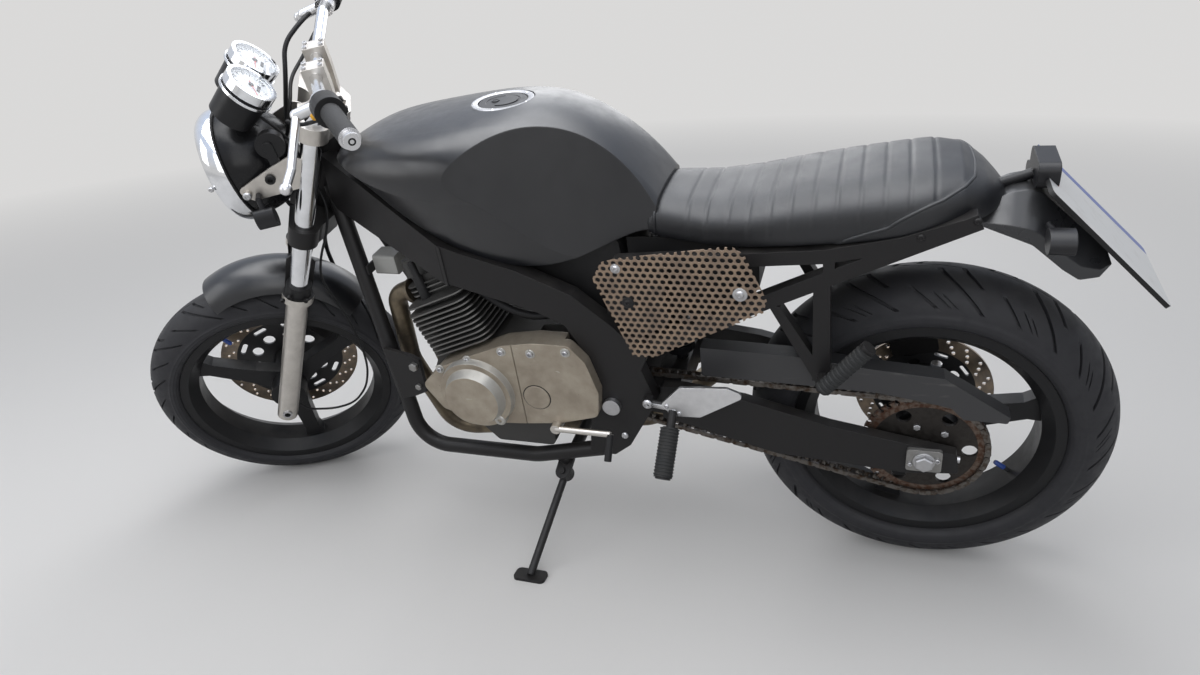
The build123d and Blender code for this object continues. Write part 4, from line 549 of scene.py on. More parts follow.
# columns: wheel, steered, axle's place, the same when parked, its direction, disc band's inner radius,
# valve's angle
WHEELS = (
    ("front", True, (WHEELBASE, 0, FRONT_TYRE_R), front_axle, wheel_left, 0.120, 62.0),
    ("rear", False, (0, 0, REAR_TYRE_R), rear_axle, left, 0.094, 215.2),
)
for word, steered, axle, parked_axle, parked_left, band_r, valve_angle in WHEELS:
    dress(wheel_paint, word + "_rim")
    away = face_middles(word + "_rim", steered) - axle
    # Faces out beyond the flange's radius less the band get the bare grey metal: a painted highlight along
    # the lip.
    dress_faces(lip_painted_highlight, word + "_rim", np.hypot(away[:, 0], away[:, 2]) > RIM_FLANGE_R - LIP_HIGHLIGHT_BAND)
    disc = Finish(word + "_disc_steel", (0.36, 0.27, 0.19), 0.30, metallic=0.9)
    out = disc.off_axis(parked_axle, parked_left)
    carrier = out < band_r
    browned = disc.blend(disc.clouds(0.02, 3.0, 0.35, 0.65), (0.34, 0.27, 0.20), (0.22, 0.185, 0.155))
    disc.feed({"Base Color": disc.blend(carrier, browned, CARRIER_BLACK), "Metallic": 0.9 - carrier * 0.9,
               "Roughness": carrier * 0.16 + 0.28})
    disc.bump(out.maths("SINE", out * 9000, 0), 0.00003, 0.0006)
    dress(disc, word + "_disc")
    inward = -np.array((cos(radians(valve_angle)), 0, sin(radians(valve_angle))))
    stem = spun(((0, 0), (0, 0.0036), (0.030, 0.0036), (0.030, 0)), axle - inward * VALVE_R, inward, 14)
    cap = spun(((0, 0), (0, 0.0048), (0.018, 0.0048), (0.021, 0.0036), (0.021, 0)),
               axle - inward * VALVE_CAP_R, inward, 14)
    make_piece(word + "_valve_stem", word + "_wheel", rubber, "tyre_rubber", stem)
    make_piece(word + "_valve_cap", word + "_wheel", valve_cap, "wheel_paint", cap)

# Drive chain: oiled steel links of inner and outer plates on rollers, wrapped round the two sprockets.
# The real chain has 110 links of 15.9 mm.
CHAIN_LINKS = 110
REAR_PITCH_R = 0.1037
FRONT_PITCH_R = 0.0407
FRONT_SPROCKET = np.array((0.632, 0, 0.398))
CHAIN_Y = 0.086
LINK_R = 0.0068
ROLLER_R = 0.0046
ROLLER_HALF = 0.0092


def chain_points(share):
    """Points round the loop, each a share of its length from the start: the upper run, the arc round the
    front sprocket, the lower run and the arc round the rear one. Both runs lie along the sprockets'
    common tangents."""
    span = FRONT_SPROCKET - (0, 0, REAR_TYRE_R)
    reach = np.hypot(span[0], span[2])
    wrap = np.arcsin((REAR_PITCH_R - FRONT_PITCH_R) / reach)
    run = reach * cos(wrap)
    stretches = np.array((run, FRONT_PITCH_R * (pi - 2 * wrap), run, REAR_PITCH_R * (pi + 2 * wrap)))
    marks = np.concatenate([[0], stretches.cumsum()])
    s = share * marks[-1]
    stretch = np.searchsorted(marks, s, "right") - 1
    gone = s - marks[stretch]
    none = np.zeros(len(s))
    top = pi / 2 - wrap
    front_turn, rear_turn = gone / FRONT_PITCH_R, gone / REAR_PITCH_R
    angle = np.choose(stretch, (none + top, top - front_turn, none - top, -top - rear_turn))
    pitch_r = np.where(stretch < 3, FRONT_PITCH_R, REAR_PITCH_R)
    back = np.choose(stretch, (run - gone, none, gone, none)) * sin(top)
    rise = np.choose(stretch, (run - gone, none, -gone, none)) * cos(top)
    x = np.where(stretch < 3, reach, 0) + pitch_r * np.cos(angle) - back
    z = pitch_r * np.sin(angle) + rise
    heading = np.arctan2(span[2], span[0])
    c, d = cos(heading), sin(heading)
    return np.stack([x * c - z * d, np.full(len(s), CHAIN_Y), x * d + z * c + REAR_TYRE_R], -1)


def closed(grid):
    """The grid with its first and last rows each drawn together to their middle, which shuts the form's
    ends."""
    ends = [np.broadcast_to(grid[end].mean(0), (1, *grid.shape[1:])) for end in (0, -1)]
    return np.concatenate([ends[0], grid, ends[1]])


def prism(outline, low, high):
    """A flat outline of x and z, given thickness from low to high along y."""
    ends = [np.stack([outline[:, 0], np.full(len(outline), y), outline[:, 1]], -1) for y in (low, high)]
    return joined_up(closed(np.stack(ends)), wrap_columns=True)


def repeated(sheet, at, ahead, aside, above):
    """Copies of a sheet of points and faces, one at each place, along that place's own three axes."""
    points, faces = sheet
    placed = (at[:, None] + points[None, :, 0:1] * ahead[:, None] + points[None, :, 1:2] * aside[:, None]
              + points[None, :, 2:3] * above[:, None])
    copies = faces[None] + (np.arange(len(at)) * len(points))[:, None, None]
    return placed.reshape(-1, 3), copies.reshape(-1, faces.shape[1])


def link_plate(pitch, radius, low, high):
    """One side plate: two round ends about the pins, drawn in at the waist."""
    turn = np.linspace(0, 2 * pi, 20, endpoint=False)
    waist = 0.72 + 0.28 * np.abs(np.cos(turn)) ** 1.5
    apart = np.clip(3 * np.cos(turn), -1, 1) * pitch / 2
    outline = np.stack([np.cos(turn) * radius + apart, np.sin(turn) * radius * waist], -1)
    return prism(outline, low, high)


pins = chain_points(np.arange(CHAIN_LINKS) / CHAIN_LINKS)
links = np.roll(pins, -1, 0) - pins
ahead = links / np.linalg.norm(links, axis=1, keepdims=True)
aside = np.broadcast_to((0.0, 1.0, 0.0), ahead.shape)
above = np.cross(ahead, aside)
middles = pins + links / 2
pitch = np.linalg.norm(links, axis=1).mean()
circle = np.linspace(0, 2 * pi, 10, endpoint=False)
roller = prism(ROLLER_R * np.stack([np.cos(circle), np.sin(circle)], -1), -ROLLER_HALF, ROLLER_HALF)
chain_sheets = [repeated(roller, pins, ahead, aside, above)]
for first, offsets in ((0, (0.0066, 0.0086)), (1, (0.0045, 0.0064))):
    for hand in (-1, 1):
        low, high = sorted(hand * offset for offset in offsets)
        axes = (axis[first::2] for axis in (middles, ahead, aside, above))
        chain_sheets.append(repeated(link_plate(pitch, LINK_R, low, high), *axes))
chain_steel = Finish("chain_steel", (0.10, 0.085, 0.075), 0.42, metallic=0.85)
rust = chain_steel.clouds(0.012, 4.0, 0.45, 0.65)
chain_steel.feed({"Base Color": chain_steel.blend(rust, (0.13, 0.12, 0.11), (0.055, 0.035, 0.022)),
                  "Roughness": 0.32 + rust * 0.35})
chain = make_piece("drive_chain", "frame", chain_steel, "chain_steel", *chain_sheets, smooth=False)
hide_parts("chain")

# Sprockets, chain guard and rear axle: rusty sprocket teeth, a black guard scuffed grey, zinc plated
# adjusters, and nuts on the axle and the sprocket's carrier
sprocket_steel = Finish("sprocket_steel", (0.10, 0.07, 0.055), 0.5, metallic=0.75)
rusty = sprocket_steel.clouds(0.008, 5.0, 0.4, 0.62)
SPROCKET_HUB_R = 0.088
hub = sprocket_steel.off_axis(rear_axle, left) < SPROCKET_HUB_R
rust_brown = sprocket_steel.blend(rusty, (0.13, 0.098, 0.078), (0.075, 0.036, 0.022))
sprocket_steel.feed({"Base Color": sprocket_steel.blend(hub, rust_brown, (0.035, 0.031, 0.028)),
                     "Roughness": rusty * 0.3 + 0.4})
sprocket_steel.bump(sprocket_steel.noise(0.002, 4.0), 0.0002, 0.0006)
dress(sprocket_steel, "rear_sprocket", "front_sprocket")
guard_plastic = Finish("chain_guard_plastic", (0.012, 0.012, 0.013), 0.5)
scuffed = guard_plastic.between(guard_plastic.noise(0.030, 6.0, (0.4, 1, 2.5)), 0.62, 0.74)
guard_grey = guard_plastic.blend(scuffed, (0.0300, 0.0300, 0.0320), (0.08, 0.078, 0.076))
guard_plastic.feed({"Base Color": guard_grey, "Roughness": scuffed * 0.2 + 0.48})
guard_plastic.bump(guard_plastic.noise(0.0012), 0.0001, 0.001)
dress(guard_plastic, "chain_guard")
dull_zinc = bright_metal("adjuster_steel", (0.30, 0.295, 0.285), 0.42, 0.20)
dress(dull_zinc, "rear_axle")

# rows of a head's outline: distance out of the face, and radius, both as shares of the head's radius
HEADS = {
    "socket": ((-0.4, 0.0), (-0.4, 1.0), (0.80, 1.0), (0.95, 0.88), (0.95, 0.54), (0.35, 0.46), (0.35, 0.0)),
    "hexagon": ((-0.4, 0.0), (-0.4, 1.0), (0.56, 1.0), (0.68, 0.84), (0.68, 0.0)),
    "button": ((-0.4, 0.0), (-0.4, 1.0), (0.12, 1.0), (0.40, 0.80), (0.52, 0.44), (0.30, 0.38), (0.30, 0.0)),
    "washer": ((-0.2, 0.0), (-0.2, 1.0), (0.10, 1.0), (0.14, 0.93), (0.14, 0.0)),
}


def heads(rows, facing=(0, 1, 0)):
    """The heads of a table of bolts, each facing out of the surface it is screwed into."""
    return [spun(np.array(HEADS[form]) * radius, (x, y, z), facing, 6 if form == "hexagon" else 20)
            for x, y, z, radius, form in rows]


# columns: x, y, z, radius, form
AXLE_BOLTS = (
    (0.0, 0.1280, 0.3135, 0.0185, "washer"),
    (0.0, 0.1290, 0.3135, 0.0160, "hexagon"),
    (-0.0215, 0.1280, 0.3180, 0.0045, "socket"),
    (0.0225, 0.1280, 0.3060, 0.0040, "socket"),
)
make_piece("rear_axle_nut", "frame", zinc, "axle_steel", *heads(AXLE_BOLTS), smooth=False)
adjuster = spun(((0, 0), (0, 0.0035), (0.034, 0.0035), (0.034, 0.0065), (0.040, 0.0065), (0.040, 0)),
                (-0.018, 0.112, 0.3150), (-1, 0, -0.08), 12)
make_piece("chain_adjuster", "frame", zinc, "axle_steel", adjuster)
SPROCKET_NUTS_R = 0.047
nut_turn = np.radians(np.arange(6) * 60 + 12)
nuts = [(SPROCKET_NUTS_R * cos(turn), 0.0895, REAR_TYRE_R + SPROCKET_NUTS_R * sin(turn), 0.0068, "hexagon")
        for turn in nut_turn]
make_piece("sprocket_nuts", "rear_wheel", zinc, "axle_steel", *heads(nuts), smooth=False)

# Frame fittings: bright and black screws on the frame, and the plate that ties the engine to the left
# downtube
MOUNT_PLATE = np.array(((1.026, 0.474), (1.014, 0.352), (0.984, 0.360), (0.954, 0.374), (0.952, 0.450),
                        (0.968, 0.460)))
# columns: x, y, z, radius, form
FRAME_BOLTS = (
    (0.4780, 0.1560, 0.4100, 0.0095, "button"),
    (0.5350, 0.1420, 0.3180, 0.0070, "button"),
    (0.4400, 0.1645, 0.4150, 0.0045, "button"),
    (0.4180, 0.1645, 0.4010, 0.0045, "button"),
)
BLACK_BOLTS = ((0.0372, 0.1300, 0.7425, 0.0060, "button"), (-0.0367, 0.1300, 0.7695, 0.0060, "button"))
ENGINE_BOLTS = ((0.9655, 0.1340, 0.4371, 0.0095, "hexagon"), (0.9675, 0.1340, 0.3871, 0.0070, "hexagon"))
make_piece("frame_bolts", "frame", zinc, "axle_steel", *heads(FRAME_BOLTS))
make_piece("black_bolts", "frame", black_paint, "black_paint", *heads(BLACK_BOLTS))
mount_plate = prism(MOUNT_PLATE, low=0.123, high=0.132)
make_piece("engine_mount_plate", "frame", black_paint, "black_paint", mount_plate)
make_piece("engine_mount_bolts", "frame", dull_zinc, "axle_steel", *heads(ENGINE_BOLTS))

# Shock: one damper inside a black enamelled coil spring, nearly upright between the swingarm and the
# frame. It replaces its plain solid.
shock_low, shock_high = np.array((0.446, 0, 0.414)), np.array((0.470, 0, 0.640))
shock_way = (shock_high - shock_low) / np.linalg.norm(shock_high - shock_low)
SPRING_TURNS = 7.5
SPRING_R = 0.0255
SPRING_FOOT = 0.038
SPRING_HIGH = 0.150
SPRING_WIRE_R = 0.0048
spring_across = np.cross(shock_way, (0, 1, 0))


def pipe(path, radius, sides=10):
    """A round section of the given radius carried along a path of points, and shut at its ends. Its own
    two directions across are found from the path's heading and the way from the path's middle."""
    heading = np.gradient(path, axis=0)
    heading /= np.linalg.norm(heading, axis=1, keepdims=True)
    one = np.cross(heading, path - path.mean(0) + 1e-6)
    one /= np.linalg.norm(one, axis=1, keepdims=True)
    two = np.cross(heading, one)
    turn = np.linspace(0, 2 * pi, sides, endpoint=False)[None, :, None]
    ring = path[:, None] + radius * (one[:, None] * np.cos(turn) + two[:, None] * np.sin(turn))
    return joined_up(closed(ring), wrap_columns=True)


coil_turn = np.linspace(0, 2 * pi * SPRING_TURNS, 260)[:, None]
coil_rise = SPRING_FOOT + SPRING_HIGH * coil_turn / coil_turn[-1]
coil_out = np.cos(coil_turn) * spring_across + np.sin(coil_turn) * (0, 1, 0)
coil = shock_low + coil_rise * shock_way + SPRING_R * coil_out
damper = spun(((0, 0), (0, 0.012), (0.020, 0.012), (0.020, 0.029), (0.034, 0.029), (0.036, 0.015),
               (0.120, 0.015), (0.120, 0.020), (0.190, 0.020), (0.190, 0.029), (0.200, 0.029),
               (0.200, 0.012), (0.2272, 0.012), (0.2272, 0)), shock_low, shock_way)
spring_enamel = satin_black("spring_enamel", (0.011, 0.011, 0.013), 0.30)
spring = pipe(coil, SPRING_WIRE_R, sides=12)
shock = make_piece("shock_spring", "frame", spring_enamel, "spring_enamel", spring, damper)
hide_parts("rear_shock")

# Fork: chromed stanchions in satin aluminium sliders with black seals, an aluminium upper yoke, a painted
# lower yoke and brace, and a short mudguard in the tank's paint
chrome = bright_metal("bright_chrome", (0.82, 0.83, 0.85), 0.07)
aluminium = bright_metal("bare_aluminium", (0.60, 0.57, 0.53), 0.34, 0.12)
dress(chrome, "fork_stanchions")
dress(aluminium, "fork_sliders", "fork_yokes")
dress(black_paint, "fork_brace")
dress(zinc, "front_axle")
STEER_UP = np.array((-sin(RAKE), 0, cos(RAKE)))
SEAL_HIGH = 0.0242
BELOW_UPPER_YOKE = 0.88
up_slider = face_middles("fork_sliders", True) @ STEER_UP
dress_faces(black_plastic, "fork_sliders", up_slider > up_slider.max() - SEAL_HIGH)
dress_faces(black_paint, "fork_yokes", face_middles("fork_yokes", True)[:, 2] < BELOW_UPPER_YOKE)
SLIDER_BOLTS = (
    (1.2729, 0.1205, 0.6138, 0.0045, "socket"),
    (1.2883, 0.1205, 0.6107, 0.0045, "socket"),
    (1.2470, 0.1205, 0.5967, 0.0045, "socket"),
)
make_piece("slider_bolts", "steering", black_paint, "black_paint", *heads(SLIDER_BOLTS))
tank_paint = satin_black("tank_paint", (0.0042, 0.0046, 0.0066), 0.34, 0.00004, 0.003, 0.10)
tank_paint.feed({"Specular IOR Level": 0.50, "Coat Weight": 0.35, "Coat Roughness": 0.27})
dress(tank_paint, "front_mudguard")

# Headlight: a black bowl with its mirror inside, a wide chrome rim with a screw, a dark gasket, clear
# fluted glass and a shielded bulb, held by two aluminium plates
LIGHT_AT = np.array((1.307, 0, 0.855))
LIGHT_WAY = np.array((cos(radians(6)), 0, -sin(radians(6))))
bowl_paint = satin_black("bowl_paint", (0.0085, 0.0085, 0.0095), 0.24, 0.00003, 0.0015, 0.3)
dress(bowl_paint, "headlight_bowl")
dress(chrome, "headlight_rim")
dress(aluminium, "headlight_brackets")
bowl_faces = face_middles("headlight_bowl", True) - LIGHT_AT
from_axis = bowl_faces - (bowl_faces @ LIGHT_WAY)[:, None] * LIGHT_WAY
inside = (face_headings("headlight_bowl", True) * (from_axis - LIGHT_WAY * 0.02)).sum(1) < 0
dress_faces(chrome, "headlight_bowl", inside)
glass = Finish("lamp_glass", (0.95, 0.97, 0.98), 0.03, transmission_weight=1.0, ior=1.45)
flute = glass.along(front_axle, wheel_left)
glass.bump(flute.maths("SINE", flute * 700, 0), 0.0008)
dress(glass, "headlight_lens")
gasket = spun(((-0.0365, 0.0985), (-0.0365, 0.1045), (-0.0335, 0.1045), (-0.0335, 0.0985), (-0.0365, 0.0985)),
              LIGHT_AT, LIGHT_WAY, 72)
make_piece("headlight_gasket", "steering", black_plastic, "black_plastic", gasket, edges=180)
bulb = spun(((-0.096, 0), (-0.096, 0.012), (-0.084, 0.012), (-0.084, 0.007), (-0.050, 0.007), (-0.040, 0.016),
             (-0.038, 0.016), (-0.036, 0)), LIGHT_AT, LIGHT_WAY)
make_piece("headlight_bulb", "steering", chrome, "bright_chrome", bulb)
SIDES = (("left", 1), ("right", -1))
# columns: x, y on the left, z, radius, form
LAMP_BOLTS = ((1.3129, 0.0995, 0.8741, 0.0050, "button"), (1.2560, 0.1125, 0.8520, 0.0080, "button"))
BRACKET_PLUG = ((1.206, 0.1045, 0.872, 0.0092, "socket"),)


def heads_both_sides(name, body, finish, slot, rows):
    """A piece on each side of the bike with the heads of the table's bolts, facing out."""
    for word, hand in SIDES:
        there = [(x, hand * y, z, radius, form) for x, y, z, radius, form in rows]
        make_piece(word + name, body, finish, slot, *heads(there, (0, hand, 0)))


heads_both_sides("_lamp_bolts", "steering", zinc, "axle_steel", LAMP_BOLTS)
heads_both_sides("_bracket_plug", "steering", black_plastic, "black_plastic", BRACKET_PLUG)

# Gauges: two black cups with chrome bezels and a second chrome ring, pale dials with dark ticks and a red
# needle under glass
GAUGE_WAY = np.array((-cos(radians(40)), 0, sin(radians(40))))
DIAL_UP = np.array((sin(radians(40)), 0, cos(radians(40))))
DIAL_RIGHT = np.array((0.0, -1.0, 0.0))
GAUGE_AT = np.array((1.177, 0, 1.026))
GAUGE_Y = 0.048
DIAL_TICKS = 31
cup_paint = satin_black("cup_paint", (0.012, 0.012, 0.013), 0.36)
dress(cup_paint, "gauges")
cup_faces = face_middles("gauges", True) - GAUGE_AT
cup_faces[:, 1] -= np.sign(cup_faces[:, 1]) * GAUGE_Y
depth = cup_faces @ GAUGE_WAY
out = np.linalg.norm(cup_faces - depth[:, None] * GAUGE_WAY, axis=1)
dial_face = Finish("dial_face", (0.55, 0.56, 0.57), 0.5)
dial_face.feed({"Roughness": dial_face.clouds(0.01, 3.0, 0.3, 0.7, 0.42, 0.56)})
dress_faces(chrome, "gauges", (depth > -0.0165) | ((depth > -0.0262) & (depth < -0.0205) & (out > 0.0435)))
dress_faces(dial_face, "gauges", (depth > -0.0070) & (depth < -0.0055) & (out < 0.0378))
clear = Finish("gauge_glass", (0.97, 0.98, 0.99), 0.02, transmission_weight=1.0, ior=1.2)
clear.feed({"Roughness": clear.clouds(0.015, 3.0, 0.4, 0.7, 0.02, 0.05)})
ink = enamel("dial_ink", (0.015, 0.015, 0.017), 0.5, 0.00002)
red = enamel("needle_red", (0.45, 0.02, 0.015), 0.4, 0.00002)
DIAL_DEEP = 0.0058
INK_THICK = 0.0003
TICK_END = 0.0335
# outlines on the dial, to the right and up from its centre
DIAL_WINDOW = np.array(((-0.010, -0.017), (0.010, -0.017), (0.010, -0.011), (-0.010, -0.011)))
NEEDLE = np.array(((-0.0011, -0.009), (0.0011, -0.009), (0.0005, 0.029), (-0.0005, 0.029)))
third = np.arange(DIAL_TICKS) % 3
turn = np.radians(np.linspace(-135, 135, DIAL_TICKS))[:, None]
radial = np.cos(turn) * DIAL_UP + np.sin(turn) * DIAL_RIGHT
tangent = np.cos(turn) * DIAL_RIGHT - np.sin(turn) * DIAL_UP
for (word, hand), needle_at in zip(SIDES, (-118.0, -96.0)):
    centre = GAUGE_AT + (0, hand * GAUGE_Y, 0) - DIAL_DEEP * GAUGE_WAY
    marks = []
    for picked, half, inner in ((third == 0, 0.0007, 0.0255), (third > 0, 0.00035, 0.0295)):
        tick = np.array(((-half, inner), (half, inner), (half, TICK_END), (-half, TICK_END)))
        axes = (np.broadcast_to(axis, radial.shape)[picked] for axis in (centre, tangent, GAUGE_WAY, radial))
        marks.append(repeated(prism(tick, 0.0, INK_THICK), *axes))
    axes = (axis[None] for axis in (centre, DIAL_RIGHT, GAUGE_WAY, DIAL_UP))
    marks.append(repeated(prism(DIAL_WINDOW, 0.0, INK_THICK), *axes))
    hub = ((0, 0), (0, 0.0045), (0.0022, 0.0045), (0.0026, 0.0036), (0.0026, 0))
    marks.append(spun(hub, centre, GAUGE_WAY))
    make_piece(word + "_dial_marks", "steering", ink, "black_plastic", *marks, smooth=False)
    slant = radians(needle_at)
    point_way = cos(slant) * DIAL_UP + sin(slant) * DIAL_RIGHT
    side_way = cos(slant) * DIAL_RIGHT - sin(slant) * DIAL_UP
    axes = (axis[None] for axis in (centre, side_way, GAUGE_WAY, point_way))
    needle = repeated(prism(NEEDLE, low=0.0012, high=0.0017), *axes)
    make_piece(word + "_needle", "steering", red, "black_plastic", needle, smooth=False)
    pane = spun(((0.0045, 0), (0.0045, 0.0379), (0.0057, 0.0379), (0.0057, 0)), centre, GAUGE_WAY, 48)
    make_piece(word + "_gauge_glass", "steering", clear, "lamp_glass", pane)

# Handlebar: a chromed tube clamped in two aluminium risers, with black grips, silver bar ends, levers and
# perches, and black switch pods with a yellow button on the left one
BAR_AT = np.array((1.072, 0, 1.010))
BAR_R = 0.011
RISER_Y = 0.042
RISER_HALF = 0.0165
BAR_END = (0.62, 0.62, 0.63)
BUTTON_WAY = np.array((0.93, 0.0, -0.37))
GRIP_ENDS = np.array(((-0.018, 0.180, 0.022), (-0.072, 0.372, 0.046)))
dress(chrome, "handlebar")
bar_faces = face_middles("handlebar", True)
from_bar = np.hypot(bar_faces[:, 0] - BAR_AT[0], bar_faces[:, 2] - BAR_AT[2])
at_riser = np.abs(np.abs(bar_faces[:, 1]) - RISER_Y) < RISER_HALF
dress_faces(aluminium, "handlebar", at_riser & (from_bar > BAR_R + 0.0005))
clamp_bolts = [(BAR_AT[0] + dx, side_y + dy, BAR_AT[2] + 0.020, 0.0042, "socket")
               for side_y in (-RISER_Y, RISER_Y) for dx in (-0.0145, 0.0145) for dy in (-0.009, 0.009)]
make_piece("clamp_bolts", "steering", zinc, "axle_steel", *heads(clamp_bolts, (0, 0, 1)))
bright_casting = bright_metal("lever_aluminium", (0.70, 0.70, 0.71), 0.26, 0.10)
dress(bright_casting, "hand_controls")
control_faces = face_middles("hand_controls", True)
grip_faces = face_middles("grips", True)
dress(black_plastic, "grips")
for word, hand in SIDES:
    inner_end, outer_end = BAR_AT + GRIP_ENDS * (1, hand, 1)
    along_bar = (outer_end - inner_end) / np.linalg.norm(outer_end - inner_end)
    out_along = (control_faces - inner_end) @ along_bar
    off_bar = np.linalg.norm(control_faces - inner_end - out_along[:, None] * along_bar, axis=1)
    pod = (out_along > 0.0355) & (out_along < 0.0765) & (off_bar < 0.0262)
    dress_faces(black_plastic, "hand_controls", pod)
    parked_inner, parked_outer = on_fork([inner_end, outer_end])
    parked_way = (parked_outer - parked_inner) / np.linalg.norm(parked_outer - parked_inner)
    grip_rubber = Finish(word + "_grip_rubber", (0.014, 0.014, 0.015), 0.68)
    wave = grip_rubber.along(parked_inner, parked_way)
    grip_rubber.bump(wave.maths("SINE", wave * 1800, 0) + grip_rubber.noise(0.002), 0.0005)
    on_side = grip_faces[:, 1] * hand > 0
    dress_faces(grip_rubber, "grips", on_side)
    weight = bright_metal(word + "_bar_end", BAR_END, 0.24)
    # A dark ring on the end's face stands in for the shade in a groove that is not cut: painted shade.
    ring = weight.off_axis(parked_inner, parked_way)
    groove_painted_shade = (ring < 0.0058) * (ring > 0.0032)
    weight.feed({"Base Color": weight.blend(groove_painted_shade, BAR_END, (0.03, 0.03, 0.03))})
    dress_faces(weight, "grips", on_side & ((grip_faces - outer_end) @ along_bar > -0.0003))
    push = spun(((0, 0), (0, 0.0058), (0.009, 0.0058), (0.0105, 0.0045), (0.0105, 0)),
                inner_end + along_bar * 0.047 + BUTTON_WAY * 0.0195, BUTTON_WAY, 16)
    switches = []
    for at, height, size in ((0.048, 0.35, 0.0052), (0.063, -0.15, 0.0060)):
        outline = ((0, 0), (0, size), (0.006, size), (0.0072, size * 0.8), (0.0072, 0))
        foot = inner_end + along_bar * at + np.array((-0.9, 0, height)) * 0.0235
        switches.append(spun(outline, foot, (-1, 0, height * 0.7), 16))
    colour = (0.75, 0.38, 0.02) if hand > 0 else (0.35, 0.03, 0.02)
    push_paint = enamel(word + "_button", colour, 0.35, 0.00004)
    make_piece(word + "_pod_button", "steering", push_paint, "lamp_plastic", push)
    make_piece(word + "_pod_switches", "steering", black_paint, "black_plastic", *switches)

# Small parts of the front: smoked indicators with rounded edges, the horn, and the brake hose and cables
# in black rubber
smoked = Finish("smoked_lamp", (0.014, 0.014, 0.016), 0.40, specular_ior_level=0.3)
smoked.bump(smoked.noise(0.004), 0.0001, 0.002)
dress(smoked, "front_indicators")
horn_paint = satin_black("horn_paint", (0.014, 0.014, 0.015), 0.30)
dress(horn_paint, "horn")
hose_rubber = satin_black("hose_rubber", (0.011, 0.011, 0.012), 0.50, 0.00012, 0.0, 0.4)
dress(hose_rubber, "brake_hose", "speedo_cable", "control_cables")

# Engine: an air-cooled twin leaning forward, with dark fins whose edges are worn pale, a dark crankcase,
# and silver-brown cast covers under a stained lacquer. The alternator's raised ring is lighter.
CYL_FOOT = np.array((0.842, 0, 0.488))
CYL_WAY = np.array((sin(radians(22)), 0, cos(radians(22))))
CYL_BACK = np.array((-cos(radians(22)), 0, sin(radians(22))))
RING_AT = (0.814, 0.412)
RING_R = 0.0775
engine_grey = satin_black("engine_grey", (0.046, 0.045, 0.0435), 0.44, 0.00015, 0.0006, 0.6)
fin_edge = bright_metal("fin_edge", (0.180, 0.178, 0.172), 0.48, 0.12)
dress(engine_grey, "cylinder_block", "cylinder_head", "engine_case")
# columns: node, half width and half depth inside its fins' edges, height of the last fin
FINNED = (("cylinder_block", 0.1135, 0.0540, 1.0), ("cylinder_head", 0.0940, 0.0600, 0.140))
for name, core_wide, core_deep, top in FINNED:
    middles = face_middles(name) - CYL_FOOT
    upright = np.abs(face_headings(name) @ CYL_WAY) < 0.3
    outer = (np.abs(middles[:, 1]) > core_wide) | (np.abs(middles @ CYL_BACK) > core_deep)
    dress_faces(fin_edge, name, upright & outer & (middles @ CYL_WAY < top))


def casting(name, colour, stain, pale):
    """Cast aluminium under an old lacquer: large soft stains, a cast grain, pale scratches and dark
    specks."""
    finish = Finish(name, colour, 0.40, metallic=0.55)
    stained = finish.clouds(0.045, 4.0, 0.35, 0.65)
    scratched = finish.between(finish.noise(0.010, 6.0, (0.35, 1, 1.6)), 0.66, 0.72)
    scratched = scratched * finish.clouds(0.05, 2.0, 0.5, 0.6)
    specks = finish.clouds(0.004, 3.0, 0.70, 0.76)
    shade = finish.blend(scratched, finish.blend(stained, colour, stain), pale)
    finish.feed({"Base Color": finish.blend(specks * 0.7, shade, (0.05, 0.045, 0.04)),
                 "Roughness": stained * 0.12 + 0.36})
    finish.bump(finish.noise(0.0015, 3.0), 0.00012, 0.0022)
    return finish


engine_silver = casting("engine_silver", (0.375, 0.330, 0.265), (0.275, 0.235, 0.186), (0.53, 0.50, 0.44))
ring_silver = casting("ring_silver", (0.47, 0.46, 0.43), (0.37, 0.36, 0.335), (0.55, 0.55, 0.52))
dress(engine_silver, "left_cover", "right_cover")
cover = face_middles("left_cover")
at_ring = np.hypot(cover[:, 0] - RING_AT[0], cover[:, 2] - RING_AT[1])
tapered = np.abs(face_headings("left_cover")[:, 1]) < 0.97
dress_faces(ring_silver, "left_cover", (at_ring < RING_R) & tapered & (cover[:, 1] > 0.1645))
# columns: x, y, z, radius, form
COVER_BOLTS = (
    (0.8862, 0.1640, 0.4589, 0.0055, "socket"),
    (0.8221, 0.1640, 0.4851, 0.0055, "socket"),
    (0.7467, 0.1640, 0.5092, 0.0060, "socket"),
    (0.6885, 0.1640, 0.5092, 0.0060, "socket"),
    (0.6190, 0.1640, 0.5168, 0.0055, "socket"),
    (0.5960, 0.1400, 0.4375, 0.0055, "socket"),
)
make_piece("cover_bolts", "frame", zinc, "axle_steel", *heads(COVER_BOLTS))
boss = spun(((0, 0), (0, 0.0125), (0.014, 0.0120), (0.017, 0.0095), (0.017, 0.0045), (0.014, 0.0040),
             (0.014, 0)), (0.7740, 0.1630, 0.3560), (0, 1, 0))
bolt_pads = [spun(((0, 0), (0, 0.0098), (0.0022, 0.0090), (0.0022, 0)), (x, y - 0.0008, z), (0, 1, 0))
             for x, y, z, radius, form in COVER_BOLTS]
make_piece("cover_bosses", "frame", ring_silver, "engine_silver", boss, *bolt_pads)
LID_AT = (0.692, 0.164, 0.410)
lid = spun(((0, 0), (0, 0.0262), (0.0015, 0.0262), (0.0020, 0.0256), (0.0020, 0)), LID_AT, (0, 1, 0), 48)
lid_gap = spun(((0, 0), (0, 0.0280), (0.0004, 0.0280), (0.0004, 0)), LID_AT, (0, 1, 0), 48)
make_piece("cover_lid", "frame", engine_silver, "engine_silver", lid)
make_piece("cover_lid_gap", "frame", black_paint, "engine_silver", lid_gap)
plug_cap = spun(((0, 0), (0, 0.0060), (0.004, 0.0072), (0.030, 0.0072), (0.034, 0.0100), (0.088, 0.0110),
                 (0.088, 0)), (0.9316, 0.100, 0.6566), (-0.0167, 0, -0.0822), 20)
